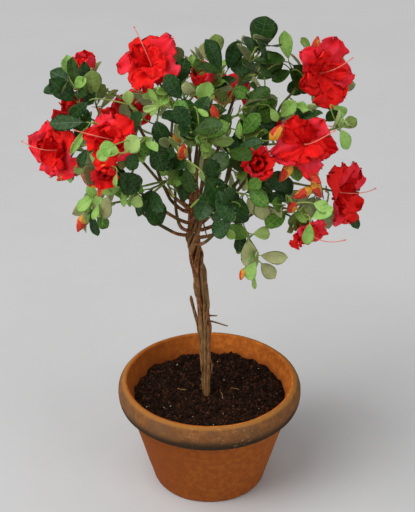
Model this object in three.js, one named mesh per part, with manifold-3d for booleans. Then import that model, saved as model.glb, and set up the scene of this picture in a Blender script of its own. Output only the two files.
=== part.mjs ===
// An azalea grown as a small standard: a bundle of twisted woody stems in a clay pot,
// with a loose round crown of leafy sprays that carry double red blooms and buds.
// Millimetres, +Z up. The origin is the centre of the pot's flat underside, and -Y is the front.

import * as THREE from "three";
import { mergeVertices } from "three/addons/utils/BufferGeometryUtils.js";
import Module from "manifold-3d";

const wasm = await Module();
wasm.setup();

// ---- Driving dimensions ------------------------------------------------------------------

const CLEARANCE = 0.3; // between solids that touch in the real plant

const POT = {
  height: 130,
  baseRadius: 64.5,
  rimRadius: 105, // at the widest part of the rolled rim
  rimHeight: 30,
  rimRoll: 9, // how far the roll stands out from its own lower edge
  rimStep: 3, // ledge between the roll's lower edge and the wall
  mouthRadius: 94.5,
  wall: 8.5,
  floor: 12,
  footRound: 4,
  facets: 32,
};

const SOIL = { level: 107, bump: 1.6, flatRadius: 18, rings: 5 };

const TRUNK = {
  foot: [-3, 0], // where the trunk's axis meets the soil
  forkHeight: 372,
  lean: -8, // sideways shift of the fork from the foot
  bow: -7.5, // sideways bow between them, greatest well above the middle
  bowRise: 2.2,
  sway: 4, // bow towards the back
  twist: [0.35, 0.45], // turns: even along the trunk, and extra in its upper part
  twistFrom: 0.6,
  twistTo: 0.85,
  ropeRadius: 3.5, // from the axis to each main stem's centre, at the foot
  ropeGrowth: 0.9,
  opening: 6, // extra at the fork, where the stems part
};

// The stems of the bundle. angle is the place round the axis at the foot. A vine lies in the
// groove between two main stems, and its free end stands out from them by flare. Spurs are short
// dead twigs: how far up the stem, which way and how long.
const STEMS = [
  { name: "stem_thick", angle: 300, foot: 2.5, middle: 3.3, top: 3.2, from: 0, to: 1,
    spurs: [
      { t: 0.37, way: [1, -0.12, -0.22], length: 24 },
      { t: 0.39, way: [0.9, -0.3, 0.3], length: 13 },
    ] },
  { name: "stem_right", angle: 60, foot: 2.5, middle: 2.5, top: 2.4, from: 0, to: 1,
    spurs: [{ t: 0.87, way: [0.3, -0.55, -0.9], length: 18 }] },
  { name: "stem_back", angle: 180, foot: 2.4, middle: 2.4, top: 2.3, from: 0, to: 1 },
  { name: "vine_low", angle: 120, foot: 1.7, middle: 1.8, top: 1.7, from: 0, to: 0.49, vine: true, flare: 5 },
  { name: "vine_high", angle: 240, foot: 1.2, middle: 1.4, top: 1.3, from: 0, to: 0.85, vine: true, flare: 2.5 },
  { name: "vine_front", angle: 0, foot: 1.1, middle: 1.2, top: 0.9, from: 0, to: 0.9, vine: true, flare: 3 },
];

const BOUGH = { base: 2, tip: 1.3, sides: 5, steps: 4, levelDrop: 8, lift: 0.32 };
const HUB = [-8, 0, 398]; // the boughs spread as if from here

const TWIG = { base: 1.5, tip: 1.2, sides: 3, steps: 2 };
const SPRAY = { length: 44, spread: 60, leader: 58, tries: 12 };
const WHORL = { below: 3, step: 2.2 }; // from a twig's end to its first leaf, and to the next
const GOLDEN_ANGLE = 137.508;
const CELL_MARGIN = 0.4; // kept clear on each side of the plane between two masses
const LEAF_GAP = 3; // between the sample points of two leaves
const LIMB_GAP = 3.6; // between a leaf's sample points and the surface of any other limb
const TWIG_GAP = 3;
const LEAF_TURNS = [0, 30, -30, 60, -60]; // places tried for a leaf, round its twig from its own

// Leaves by age: length, width, and how far the tip droops as a share of the length.
const LEAVES = {
  dark: { length: 35, width: 24, droop: 0.16 },
  middle: { length: 29, width: 18, droop: 0.12 },
  young: { length: 22, width: 12.5, droop: 0.08 },
};
const LEAF_ROOT = 0.9; // height of the upright edge that a leaf starts from, inside its twig
const LEAF_LIFT = 0.5; // of the blade's edges, which makes it hollow above and keeled below

// A double bloom: a funnel with a second one in its mouth, each with five lobes and notches.
// Every row is a ring of corners as [distance from the axis, distance along it].
const BLOOM = {
  radius: 33,
  depth: 12, // from the end of its stalk to the bloom's middle
  reach: { out: 33, along: 12, end: 22 },
  root: -2.5,
  waist: [6, 5],
  lobe: [33, 12],
  notch: [25, 17],
  fold: [7, 11.5], // the valley between the two
  innerLobe: [21, 22],
  innerNotch: [14, 19],
  throat: 14,
};
// Closed flowers are turned bodies, given as [distance along, radius].
const BUD = {
  depth: 10,
  reach: { out: 5, along: 5, end: 17 },
  sides: 5,
  profile: [[-2.5, 0], [4.5, 5], [11, 4], [17, 0]],
};
const HALF_OPEN = {
  depth: 13,
  reach: { out: 11.5, along: 18, end: 22 },
  sides: 6,
  profile: [[-2.5, 0], [6, 8], [18, 11.5], [22, 8], [15, 0]],
};

// The leaves of a spray by what it carries: [age, number] in the whorl below its end and along
// its twig, and the angle at which the whorl stands from the twig.
const SPRAYS = {
  bloom: { whorl: ["young", 4], twig: ["dark", 2], tilt: 80 },
  half: { whorl: ["young", 4], twig: ["dark", 2], tilt: 66 },
  bud: { whorl: ["young", 4], twig: ["middle", 2], tilt: 58 },
  dark: { whorl: ["dark", 4], twig: ["dark", 2], tilt: 56 },
  young: { whorl: ["young", 4], twig: ["middle", 2], tilt: 50 },
  middle: { whorl: ["middle", 4], twig: ["middle", 2], tilt: 54 },
};

// The masses of foliage. tips are the sprays that give the crown its outline: where each one
// ends, what it carries and, for a flower, which way it faces. more lists the sprays that the
// growth rule adds, turned round the mass's own axis from turn. size is the share of the crown
// that the mass claims from its neighbours.
const MASSES = [
  { name: "upper_left", size: 36, turn: 216, more: ["dark"],
    tips: [
      { at: [-130, 30, 503], carries: "half", faces: [-0.2, -0.1, 1] },
      { at: [-150, 4, 482], carries: "dark" },
    ] },
  { name: "left_rear", size: 40, turn: 252, more: ["dark", "young"],
    tips: [{ at: [-148, 54, 442], carries: "bloom", faces: [-0.8, 0.4, 0.4] }] },
  { name: "left", size: 38, turn: 36, more: ["dark", "bud"],
    tips: [
      { at: [-160, -30, 431], carries: "bloom", faces: [-0.6, -0.75, 0.2] },
      { at: [-146, -12, 458], carries: "dark" },
    ] },
  { name: "left_front", size: 46, turn: 252, more: ["dark", "young"],
    tips: [
      { at: [-99, -72, 463], carries: "bloom", faces: [-0.3, -0.85, 0.45] },
      { at: [-104, -86, 430], carries: "half", faces: [-0.1, -0.9, -0.2] },
      { at: [-90, -74, 410], carries: "young" },
    ] },
  { name: "left_low", size: 38, turn: 204, more: ["young"],
    tips: [
      { at: [-134, -60, 360], carries: "bud", faces: [-0.4, 0, -1] },
      { at: [-116, -62, 386], carries: "young" },
    ] },
  { name: "low_left", size: 38, turn: 228, more: ["middle", "dark"],
    tips: [
      { at: [-62, -62, 402], carries: "dark" },
      { at: [-80, -58, 400], carries: "young" },
    ] },
  { name: "inner_left", size: 43, turn: 84, more: ["dark", "dark"],
    tips: [
      { at: [-50, -50, 440], carries: "dark" },
      { at: [-27, -62, 446], carries: "bud", faces: [0.2, -0.3, 1] },
    ] },
  { name: "top_left", size: 44, turn: 240, more: ["dark", "young"],
    tips: [{ at: [-61, 8, 514], carries: "bloom", faces: [-0.15, -0.6, 0.8] }] },
  { name: "top_middle", size: 44, turn: 96, more: ["dark"],
    tips: [
      { at: [8, 24, 508], carries: "bud", faces: [0.1, -0.1, 1] },
      { at: [-7, 6, 498], carries: "half", faces: [-0.2, -0.3, 1] },
    ] },
  { name: "top", size: 41, turn: 312, more: ["dark", "middle", "dark"],
    tips: [
      { at: [52, 34, 528], carries: "dark" },
      { at: [64, 2, 512], carries: "dark" },
    ] },
  { name: "top_right", size: 44, turn: 168, more: ["young", "dark"],
    tips: [
      { at: [119, 12, 500], carries: "bloom", faces: [0.5, -0.75, 0.3] },
      { at: [112, 48, 518], carries: "bud", faces: [0.2, 0.2, 1] },
    ] },
  { name: "right", size: 46, turn: 252, more: ["bud", "young"],
    tips: [
      { at: [97, -70, 456], carries: "bloom", faces: [0.15, -0.9, 0.35] },
      { at: [134, -34, 460], carries: "young" },
    ] },
  { name: "centre_right", size: 42, turn: 48, more: ["middle", "young", "dark"],
    tips: [
      { at: [60, -24, 484], carries: "dark" },
      { at: [40, -32, 456], carries: "dark" },
    ] },
  { name: "far_right", size: 39, turn: 324, more: ["dark"],
    tips: [{ at: [143, -8, 371], carries: "bloom", faces: [0.85, -0.5, 0.05] }] },
  { name: "low_right", size: 45, turn: 348, more: ["bud"],
    tips: [
      { at: [103, -72, 355], carries: "bloom", faces: [0.5, -0.5, -0.6] },
      { at: [86, -78, 386], carries: "young" },
    ] },
  { name: "middle_right", size: 42, turn: 36, more: ["middle", "dark", "dark"],
    tips: [
      { at: [48, -82, 441], carries: "half", faces: [0.1, -0.8, 0.5] },
      { at: [46, -72, 412], carries: "dark" },
    ] },
  { name: "front", size: 41, turn: 24, more: ["dark", "dark"],
    tips: [
      { at: [8, -92, 420], carries: "dark" },
      { at: [24, -96, 400], carries: "dark" },
    ] },
  { name: "low_front", size: 38, turn: 24, more: ["bud"],
    tips: [
      { at: [50, -84, 340], carries: "young" },
      { at: [16, -84, 382], carries: "dark" },
    ] },
  { name: "centre", size: 46, turn: 252, more: ["young", "dark"],
    tips: [
      { at: [-16, -34, 476], carries: "dark" },
      { at: [6, -56, 456], carries: "dark" },
    ] },
  { name: "rear_middle", size: 40, turn: 120, more: ["dark", "young"],
    tips: [{ at: [16, 92, 446], carries: "bloom", faces: [0.1, 0.7, 0.6] }] },
  { name: "rear_left", size: 43, turn: 144, more: ["dark", "bud"],
    tips: [{ at: [-92, 100, 414], carries: "bloom", faces: [-0.4, 0.8, 0.3] }] },
  { name: "rear_right", size: 43, turn: 24, more: ["dark", "young"],
    tips: [{ at: [102, 88, 400], carries: "bloom", faces: [0.5, 0.8, 0.3] }] },
  { name: "rear_low", size: 41, turn: 228, more: ["dark", "bud"],
    tips: [{ at: [0, 122, 372], carries: "dark" }] },
  { name: "rear_top", size: 39, turn: 48, more: ["dark", "bud"],
    tips: [{ at: [-36, 72, 486], carries: "dark" }] },
];

const COLOURS = {
  clay: 0xb5622c,
  soil: 0x2b1b16,
  bark: 0x7a5138,
  foliage: 0x3f6b35,
};

// ---- Small tools -------------------------------------------------------------------------

const v3 = (a) => new THREE.Vector3(...a);
const radians = THREE.MathUtils.degToRad;
const UP = new THREE.Vector3(0, 0, 1);

// A repeatable run of numbers from 0 to 1.
function randomFrom(seed) {
  let state = seed >>> 0;
  return () => {
    state = (Math.imul(state, 1664525) + 1013904223) >>> 0;
    return state / 4294967296;
  };
}

function smooth(from, to, t) {
  const x = Math.min(1, Math.max(0, (t - from) / (to - from)));
  return x * x * (3 - 2 * x);
}

// A direction at a tilt from axis, at an angle round it.
function tilted(axis, tilt, angle) {
  const side = Math.abs(axis.z) < 0.9 ? UP.clone().cross(axis) : new THREE.Vector3(1, 0, 0).cross(axis);
  side.normalize();
  const other = axis.clone().cross(side);
  return axis
    .clone()
    .multiplyScalar(Math.cos(radians(tilt)))
    .addScaledVector(side, Math.sin(radians(tilt)) * Math.cos(radians(angle)))
    .addScaledVector(other, Math.sin(radians(tilt)) * Math.sin(radians(angle)));
}

function bezier(a, b, c, t) {
  return a
    .clone()
    .multiplyScalar((1 - t) ** 2)
    .addScaledVector(b, 2 * t * (1 - t))
    .addScaledVector(c, t * t);
}

function solidOf(geometry) {
  const bare = geometry.clone();
  bare.deleteAttribute("normal");
  bare.deleteAttribute("uv");
  const merged = mergeVertices(bare, 1e-4);
  return new wasm.Manifold(
    new wasm.Mesh({
      numProp: 3,
      vertProperties: merged.attributes.position.array,
      triVerts: new Uint32Array(merged.index.array),
    }),
  );
}

function geometryOf(solid) {
  const mesh = solid.getMesh();
  return new THREE.BufferGeometry()
    .setAttribute("position", new THREE.BufferAttribute(mesh.vertProperties, 3))
    .setIndex(new THREE.BufferAttribute(mesh.triVerts, 1));
}

// A closed solid from its corners and its faces, each a list of corners seen from outside.
function facetedSolid(corners, faces) {
  const geometry = new THREE.BufferGeometry().setFromPoints(corners);
  geometry.setIndex(faces.flatMap((f) => f.slice(2).flatMap((_, i) => [f[0], f[i + 1], f[i + 2]])));
  return geometry;
}

// A limb: a cylinder bent along centres, with its radius at each of them. Its foot is cut square
// to the limb, or level.
function limbGeometry(centres, radii, sides, levelFoot = false) {
  const steps = centres.length - 1;
  const geometry = new THREE.CylinderGeometry(1, 1, 1, sides, steps);
  const along = centres.map((_, i) =>
    centres[Math.min(i + 1, steps)].clone().sub(centres[Math.max(i - 1, 0)]).normalize(),
  );
  if (levelFoot) along[0].copy(UP);
  const across = [];
  let normal = Math.abs(along[0].z) < 0.9 ? UP.clone() : new THREE.Vector3(1, 0, 0);
  for (const tangent of along) {
    normal = normal.clone().addScaledVector(tangent, -normal.dot(tangent)).normalize();
    across.push(normal);
  }
  const place = geometry.attributes.position;
  for (let i = 0; i < place.count; i++) {
    const ring = Math.round((place.getY(i) + 0.5) * steps);
    const binormal = along[ring].clone().cross(across[ring]);
    const point = centres[ring]
      .clone()
      .addScaledVector(across[ring], place.getX(i) * radii[ring])
      .addScaledVector(binormal, -place.getZ(i) * radii[ring]);
    place.setXYZ(i, point.x, point.y, point.z);
  }
  return geometry;
}

// ---- Pot and soil ------------------------------------------------------------------------

// The wall's outer radius below the rim, and its inner radius, at a height.
function outerRadius(z) {
  const top = POT.rimRadius - POT.rimRoll - POT.rimStep;
  return POT.baseRadius + ((top - POT.baseRadius) * z) / (POT.height - POT.rimHeight);
}

function innerRadius(z) {
  const foot = POT.baseRadius - POT.wall;
  return foot + ((POT.mouthRadius - 1 - foot) * (z - POT.floor)) / (POT.height - 3 - POT.floor);
}

function potProfile() {
  const points = [new THREE.Vector2(0, 0)];
  for (let i = 0; i <= 2; i++) {
    const turn = (Math.PI / 2) * (i / 2);
    points.push(
      new THREE.Vector2(
        outerRadius(POT.footRound) - POT.footRound * (1 - Math.sin(turn)),
        POT.footRound * (1 - Math.cos(turn)),
      ),
    );
  }
  const rimFoot = POT.height - POT.rimHeight;
  points.push(new THREE.Vector2(outerRadius(rimFoot), rimFoot));
  // The roll: a flattened half round, fuller above than below.
  for (let i = 0; i <= 6; i++) {
    const turn = Math.PI * (i / 6);
    points.push(
      new THREE.Vector2(
        POT.rimRadius - POT.rimRoll + POT.rimRoll * Math.sin(turn) ** 0.75,
        rimFoot + ((POT.rimHeight - 0.6) * (1 - Math.cos(turn))) / 2,
      ),
    );
  }
  points.pop();
  points.push(new THREE.Vector2(POT.mouthRadius + 3.4, POT.height - 1));
  points.push(new THREE.Vector2(POT.mouthRadius + 1.4, POT.height));
  points.push(new THREE.Vector2(POT.mouthRadius - 0.4, POT.height - 0.6));
  points.push(new THREE.Vector2(innerRadius(POT.height - 3), POT.height - 3));
  points.push(new THREE.Vector2(innerRadius(POT.floor), POT.floor));
  points.push(new THREE.Vector2(0, POT.floor));
  return points;
}

function potGeometry() {
  return new THREE.LatheGeometry(potProfile(), POT.facets).rotateX(Math.PI / 2);
}

// The crumbled surface: rises and dips that fade to a flat patch under the stems.
function soilRise(x, y) {
  const open = smooth(SOIL.flatRadius, SOIL.flatRadius * 2.2, Math.hypot(x, y));
  const waves = Math.sin(x * 0.21 + 1.3) * Math.cos(y * 0.17 - 0.4) + 0.6 * Math.sin(x * 0.09 - y * 0.31);
  return SOIL.bump * open * waves;
}

function soilGeometry() {
  const foot = POT.floor + CLEARANCE;
  const edge = innerRadius(SOIL.level) - CLEARANCE;
  const profile = [
    new THREE.Vector2(0, foot),
    new THREE.Vector2(innerRadius(foot) - 2 * CLEARANCE, foot),
    new THREE.Vector2(edge - 1, SOIL.level - 2.5),
  ];
  for (let i = SOIL.rings - 1; i >= 1; i--) {
    profile.push(new THREE.Vector2((edge * i) / SOIL.rings, SOIL.level));
  }
  profile.push(new THREE.Vector2(0, SOIL.level));
  const geometry = new THREE.LatheGeometry(profile, POT.facets).rotateX(Math.PI / 2);
  const place = geometry.attributes.position;
  for (let i = 0; i < place.count; i++) {
    if (place.getZ(i) > SOIL.level - 0.01) {
      place.setZ(i, place.getZ(i) + soilRise(place.getX(i), place.getY(i)));
    }
  }
  return geometry;
}

// ---- Trunk -------------------------------------------------------------------------------

function trunkAxis(t) {
  return new THREE.Vector3(
    TRUNK.foot[0] + TRUNK.lean * t + TRUNK.bow * Math.sin(Math.PI * t ** TRUNK.bowRise) ** 2,
    TRUNK.foot[1] + TRUNK.sway * Math.sin(Math.PI * t),
    SOIL.level + CLEARANCE + (TRUNK.forkHeight - SOIL.level) * t,
  );
}

function stemRadius(stem, t) {
  const share = (t - stem.from) / (stem.to - stem.from);
  return share < 0.5
    ? stem.foot + (stem.middle - stem.foot) * smooth(0, 0.5, share)
    : stem.middle + (stem.top - stem.middle) * smooth(0.5, 1, share);
}

function stemCentre(stem, t) {
  const rope = TRUNK.ropeRadius + TRUNK.ropeGrowth * smooth(0, 0.35, t);
  const opened = TRUNK.opening * smooth(0.78, 1, t);
  let out = rope + opened;
  if (stem.vine) {
    const reach = Math.max(...STEMS.slice(0, 3).map((s) => stemRadius(s, t))) + stemRadius(stem, t) + CLEARANCE + 0.1;
    const half = out / 2;
    const rise = reach ** 2 - 3 * half ** 2;
    out = Math.max(half + Math.sqrt(Math.max(rise, 0)), out);
    out += stem.flare * smooth(0.6, 1, (t - stem.from) / (stem.to - stem.from));
  }
  const turns = TRUNK.twist[0] * t + TRUNK.twist[1] * smooth(TRUNK.twistFrom, TRUNK.twistTo, t);
  const angle = radians(stem.angle) + 2 * Math.PI * turns;
  return trunkAxis(t).add(new THREE.Vector3(Math.cos(angle) * out, Math.sin(angle) * out, 0));
}

const SPUR = { base: 1.1, tip: 0.7, sides: 4 };

function stemGeometry(limb, stem) {
  const shaft = solidOf(limbGeometry(limb.centres, limb.radii, limb.sides, true));
  const spurs = (stem.spurs ?? []).map(({ t, way, length }) => {
    const from = stemCentre(stem, t);
    const to = from.clone().addScaledVector(v3(way).normalize(), length);
    return solidOf(limbGeometry([from, to], [SPUR.base, SPUR.tip], SPUR.sides));
  });
  return geometryOf(wasm.Manifold.union([shaft, ...spurs]));
}

function stemLimb(stem) {
  const steps = Math.round(22 * (stem.to - stem.from));
  const ts = [...Array(steps + 1)].map((_, i) => stem.from + ((stem.to - stem.from) * i) / steps);
  return {
    name: stem.name,
    centres: ts.map((t) => stemCentre(stem, t)),
    radii: ts.map((t) => stemRadius(stem, t)),
    sides: stem.vine ? 4 : 6,
  };
}

// ---- Boughs ------------------------------------------------------------------------------

// Each mass's leader runs out from the hub. The bough carries it as far as the mass.
function leaderOf(mass) {
  const tip = v3(mass.tips[0].at);
  const out = tip.clone().sub(v3(HUB));
  const reach = out.length();
  out.normalize();
  const inMass = Math.min(SPRAY.leader, reach * 0.5);
  return { tip, out, start: tip.clone().addScaledVector(out, -inMass) };
}

// The main stems in order round the fork, so that each bough leaves the one on its own side.
function boughLimbs() {
  const mains = STEMS.filter((s) => !s.vine);
  const used = mains.map(() => 0);
  const order = MASSES.map((m, i) => ({ i, steep: leaderOf(m).out.z })).sort((a, b) => b.steep - a.steep);
  const limbs = [];
  for (const { i } of order) {
    const mass = MASSES[i];
    const { start, out } = leaderOf(mass);
    const flat = new THREE.Vector3(out.x, out.y, 0).normalize();
    const axis = trunkAxis(1);
    const side = mains.map((s, k) => {
      const where = stemCentre(s, 1).sub(axis).setZ(0).normalize();
      return where.dot(flat) - 0.12 * used[k];
    });
    const k = side.indexOf(Math.max(...side));
    const level = used[k];
    used[k] += 1;
    const t = 1 - (level * BOUGH.levelDrop) / (TRUNK.forkHeight - SOIL.level);
    const from = stemCentre(mains[k], t);
    const grain = from.clone().sub(stemCentre(mains[k], t - 0.03)).normalize();
    // The topmost bough carries on from the stem's end, and the others leave its side.
    const lead = level === 0 ? grain : flat.clone().addScaledVector(UP, 0.45);
    lead.addScaledVector(out, 0.2).normalize();
    const away = level === 0 ? grain : flat.clone().addScaledVector(grain, -flat.dot(grain)).normalize();
    const slant = Math.sqrt(Math.max(0, 1 - away.dot(lead) ** 2));
    const skin = level === 0 ? 0 : stemRadius(mains[k], t);
    const base = from.clone().addScaledVector(away, skin + CLEARANCE + BOUGH.base * (slant + 0.1));
    const span = start.distanceTo(base);
    const bend = base.clone().addScaledVector(lead, span * BOUGH.lift);
    const ts = [...Array(BOUGH.steps + 1)].map((_, n) => n / BOUGH.steps);
    limbs.push({
      name: "bough_" + mass.name,
      mass: mass.name,
      centres: ts.map((u) => bezier(base, bend, start, u)),
      radii: ts.map((u) => BOUGH.base + (BOUGH.tip - BOUGH.base) * u),
      sides: BOUGH.sides,
    });
  }
  return limbs;
}

// ---- Space -------------------------------------------------------------------------------

// Each mass keeps to a cell with flat sides: the points that are nearer, by its size, to its
// centre than to any other's.
function cellCentre(mass) {
  const { start } = leaderOf(mass);
  const middle = new THREE.Vector3();
  mass.tips.forEach((tip) => middle.add(v3(tip.at)));
  middle.multiplyScalar(1 / mass.tips.length);
  return middle.lerp(start, 0.35);
}

const CELLS = MASSES.map((mass) => ({ name: mass.name, centre: cellCentre(mass), size: mass.size }));

function insideCell(name, point) {
  const own = CELLS.find((c) => c.name === name);
  const mine = point.distanceToSquared(own.centre) - own.size ** 2;
  return CELLS.every((c) => {
    if (c.name === name) return true;
    const theirs = point.distanceToSquared(c.centre) - c.size ** 2;
    return theirs - mine > 2 * CELL_MARGIN * c.centre.distanceTo(own.centre);
  });
}

function distanceToLimb(point, limb) {
  let best = Infinity;
  for (let i = 0; i + 1 < limb.centres.length; i++) {
    const a = limb.centres[i];
    const ab = limb.centres[i + 1].clone().sub(a);
    const t = Math.min(1, Math.max(0, point.clone().sub(a).dot(ab) / ab.lengthSq()));
    const radius = limb.radii[i] + (limb.radii[i + 1] - limb.radii[i]) * t;
    best = Math.min(best, point.distanceTo(a.clone().addScaledVector(ab, t)) - radius);
  }
  return best;
}

function clearOf(limbs, points, margin) {
  return points.every((p) => limbs.every((limb) => distanceToLimb(p, limb) > margin));
}

// ---- Growth ------------------------------------------------------------------------------

// A leaf's outline as [share of length, share of half width], to the widest part and past it.
const LEAF_OUTLINE = [
  [0.42, 0.82],
  [0.76, 0.86],
];

function leafCorners(leaf) {
  const { root, along, face, size } = leaf;
  const side = along.clone().cross(face).normalize();
  const at = (share, across, lift) =>
    root
      .clone()
      .addScaledVector(along, share * size.length)
      .addScaledVector(side, across)
      .addScaledVector(face, lift - size.droop * size.length * share * share);
  const half = size.width / 2;
  const [low, high] = LEAF_OUTLINE;
  return [
    at(0, 0, LEAF_ROOT / 2),
    at(0, 0, -LEAF_ROOT / 2),
    at(low[0], -half * low[1], LEAF_LIFT),
    at(low[0], half * low[1], LEAF_LIFT),
    at(high[0], -half * high[1], LEAF_LIFT),
    at(high[0], half * high[1], LEAF_LIFT),
    at(1, 0, 0),
  ];
}

const LEAF_FACES = [
  [0, 3, 2],
  [2, 3, 5, 4],
  [4, 5, 6],
  [0, 2, 1],
  [1, 2, 6],
  [2, 4, 6],
  [0, 1, 3],
  [1, 6, 3],
  [3, 6, 5],
];

// Points spread over a leaf in rows across it, from its root to its tip, close enough together
// that no limb fits between them.
const SAMPLE_ROWS = [0.15, 0.35, 0.55, 0.75, 0.95];
const SAMPLE_PLACES = [-1, -0.5, 0, 0.5, 1];

function leafSamples(leaf) {
  const { root, along, face, size } = leaf;
  const side = along.clone().cross(face).normalize();
  return SAMPLE_ROWS.flatMap((share) => {
    const half = (size.width / 2) * Math.sin(Math.PI * (share * 0.92) ** 1.1);
    return SAMPLE_PLACES.map((across) =>
      root
        .clone()
        .addScaledVector(along, share * size.length)
        .addScaledVector(side, across * half)
        .addScaledVector(face, -size.droop * size.length * share * share),
    );
  });
}

const FLOWERS = { bloom: BLOOM, half: HALF_OPEN, bud: BUD };

// The straight lengths of a twig from its node. It ends the way that what it carries faces.
function twigCentres(node, end, faces) {
  const span = end.distanceTo(node);
  const elbow = node.clone().lerp(end, 0.5).lerp(end.clone().addScaledVector(faces, -span * 0.5), 0.5);
  return [...Array(TWIG.steps + 1)].map((_, i) => bezier(node, elbow, end, i / TWIG.steps));
}

// The point at a share of a twig's steps, and the way the twig runs there.
function twigAt(centres, t) {
  const step = Math.min(TWIG.steps - 1, Math.floor(t * TWIG.steps));
  const way = centres[step + 1].clone().sub(centres[step]);
  return { point: centres[step].clone().addScaledVector(way, t * TWIG.steps - step), way: way.normalize() };
}

// Sets one leaf on a twig, at the first place round it where there is room, if there is any.
function growLeaf(mass, grown, others, random, { point: root, way }, angle, tilt, age) {
  const grow = 0.85 + 0.3 * random();
  const lean = tilt + 14 * (random() - 0.5);
  const { length, width, droop } = LEAVES[age];
  const size = { length: length * grow, width: width * grow, droop };
  for (const turn of LEAF_TURNS) {
    const along = tilted(way, lean, angle + turn);
    const face = way.clone().addScaledVector(UP, 0.5);
    face.addScaledVector(along, -face.dot(along)).normalize();
    const leaf = { root, along, face, age, size };
    leaf.samples = leafSamples(leaf);
    const outer = leaf.samples.slice(SAMPLE_PLACES.length);
    if (
      leafCorners(leaf).slice(2).every((p) => insideCell(mass.name, p)) &&
      outer.every((p) => grown.leaves.every((l) => l.outer.every((q) => p.distanceTo(q) > LEAF_GAP))) &&
      leaf.samples.every((p) => grown.flowers.every((f) => outsideFlower(p, f))) &&
      clearOf(others, leaf.samples, LIMB_GAP)
    ) {
      grown.leaves.push({ ...leaf, outer });
      return;
    }
  }
}

function outsideFlower(point, flower) {
  if (flower.kind !== "bloom") return true;
  const away = point.clone().sub(flower.base);
  const along = away.dot(flower.faces);
  return along < 4 || along > 26 || away.addScaledVector(flower.faces, -along).length() > BLOOM.radius;
}

// The widest ring of a flower, and its end.
function flowerReach({ kind, base, faces, turn }) {
  const { out, along, end } = FLOWERS[kind].reach;
  const ring = [0, 36, 72, 108, 144, 180, 216, 252, 288, 324].map((angle) =>
    base.clone().addScaledVector(faces, along).addScaledVector(tilted(faces, 90, turn + angle), out),
  );
  return [...ring, base.clone().addScaledVector(faces, end)];
}

// Grows one mass: its leader, its twigs and what they carry.
function growMass(mass, seed, limbs) {
  const random = randomFrom(seed);
  const { out } = leaderOf(mass);
  const others = limbs.filter((limb) => limb.mass !== mass.name);
  const [before, last] = limbs.find((limb) => limb.mass === mass.name).centres.slice(-2);
  const grain = last.clone().sub(before).normalize();
  const grown = { twigs: [], leaves: [], flowers: [] };
  let leader = null;

  // A spray: a twig from a node on the leader, with a flower or a young shoot at its end.
  const growSpray = (tip, carries, faces, from) => {
    const flower = FLOWERS[carries];
    const end = tip.clone().addScaledVector(faces, -(flower ? flower.depth : 0));
    let node = leader ? twigAt(leader, from).point : last;
    if (!leader) {
      // The leader stands clear of the bough's square end, however far it turns from it.
      const slant = grain.clone().cross(twigAt(twigCentres(node, end, faces), 0).way).length();
      node = last.clone().addScaledVector(grain, CLEARANCE + TWIG.base * slant);
    }
    const centres = twigCentres(node, end, faces);
    const path = [0.2, 0.4, 0.6, 0.8, 1].map((t) => twigAt(centres, t).point);
    const head = flower && { kind: carries, base: end, faces, turn: 72 * random() };
    const reach = head ? flowerReach(head) : [tip];
    const fits =
      [...path, ...reach].every((p) => insideCell(mass.name, p)) &&
      clearOf(others, path, TWIG_GAP) &&
      clearOf(others, reach, TWIG_GAP);
    if (leader && !fits) return false;
    leader ??= centres;
    grown.twigs.push({ centres, carries, length: end.distanceTo(node) });
    if (head) grown.flowers.push(head);
    return true;
  };

  for (const { at, carries, faces } of mass.tips) {
    growSpray(v3(at), carries, faces ? v3(faces).normalize() : out, 0.3);
  }
  let kept = 0;
  for (let k = 0; k < SPRAY.tries && kept < mass.more.length; k++) {
    const from = 0.1 + 0.45 * random();
    const tilt = SPRAY.spread + 24 * (random() - 0.5);
    const length = SPRAY.length * (0.8 + 0.35 * random());
    const way = tilted(out, tilt, mass.turn + GOLDEN_ANGLE * k);
    const faces = way.clone().addScaledVector(UP, 0.3).normalize();
    const tip = twigAt(leader, from).point.addScaledVector(way, length);
    if (growSpray(tip, mass.more[kept], faces, from)) kept += 1;
  }

  for (const { centres, carries, length } of grown.twigs) {
    const spin = 360 * random();
    const { whorl, twig, tilt } = SPRAYS[carries];
    for (let n = 0; n < whorl[1]; n++) {
      const share = Math.max(0.6, 1 - (WHORL.below + WHORL.step * n) / length);
      const angle = spin + (360 / whorl[1]) * n;
      growLeaf(mass, grown, others, random, twigAt(centres, share), angle, tilt, whorl[0]);
    }
    for (let n = 0; n < twig[1]; n++) {
      const angle = spin + 45 + GOLDEN_ANGLE * n;
      growLeaf(mass, grown, others, random, twigAt(centres, 0.68 - 0.16 * n), angle, 62, twig[0]);
    }
  }
  return grown;
}

// ---- Solids of the masses ----------------------------------------------------------------

function leafSolid(leaf) {
  return solidOf(facetedSolid(leafCorners(leaf), LEAF_FACES));
}

function twigSolid({ centres }) {
  const radii = centres.map((_, i) => TWIG.base + ((TWIG.tip - TWIG.base) * i) / TWIG.steps);
  return solidOf(limbGeometry(centres, radii, TWIG.sides));
}

// A closed flower: a round body along the way it faces.
function turnedSolid(flower, { profile, sides }) {
  const points = profile.map(([along, radius]) => new THREE.Vector2(radius, along));
  const geometry = new THREE.LatheGeometry(points, sides);
  const turn = new THREE.Quaternion().setFromUnitVectors(new THREE.Vector3(0, 1, 0), flower.faces);
  geometry.applyQuaternion(turn).translate(flower.base.x, flower.base.y, flower.base.z);
  return solidOf(geometry);
}

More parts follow.
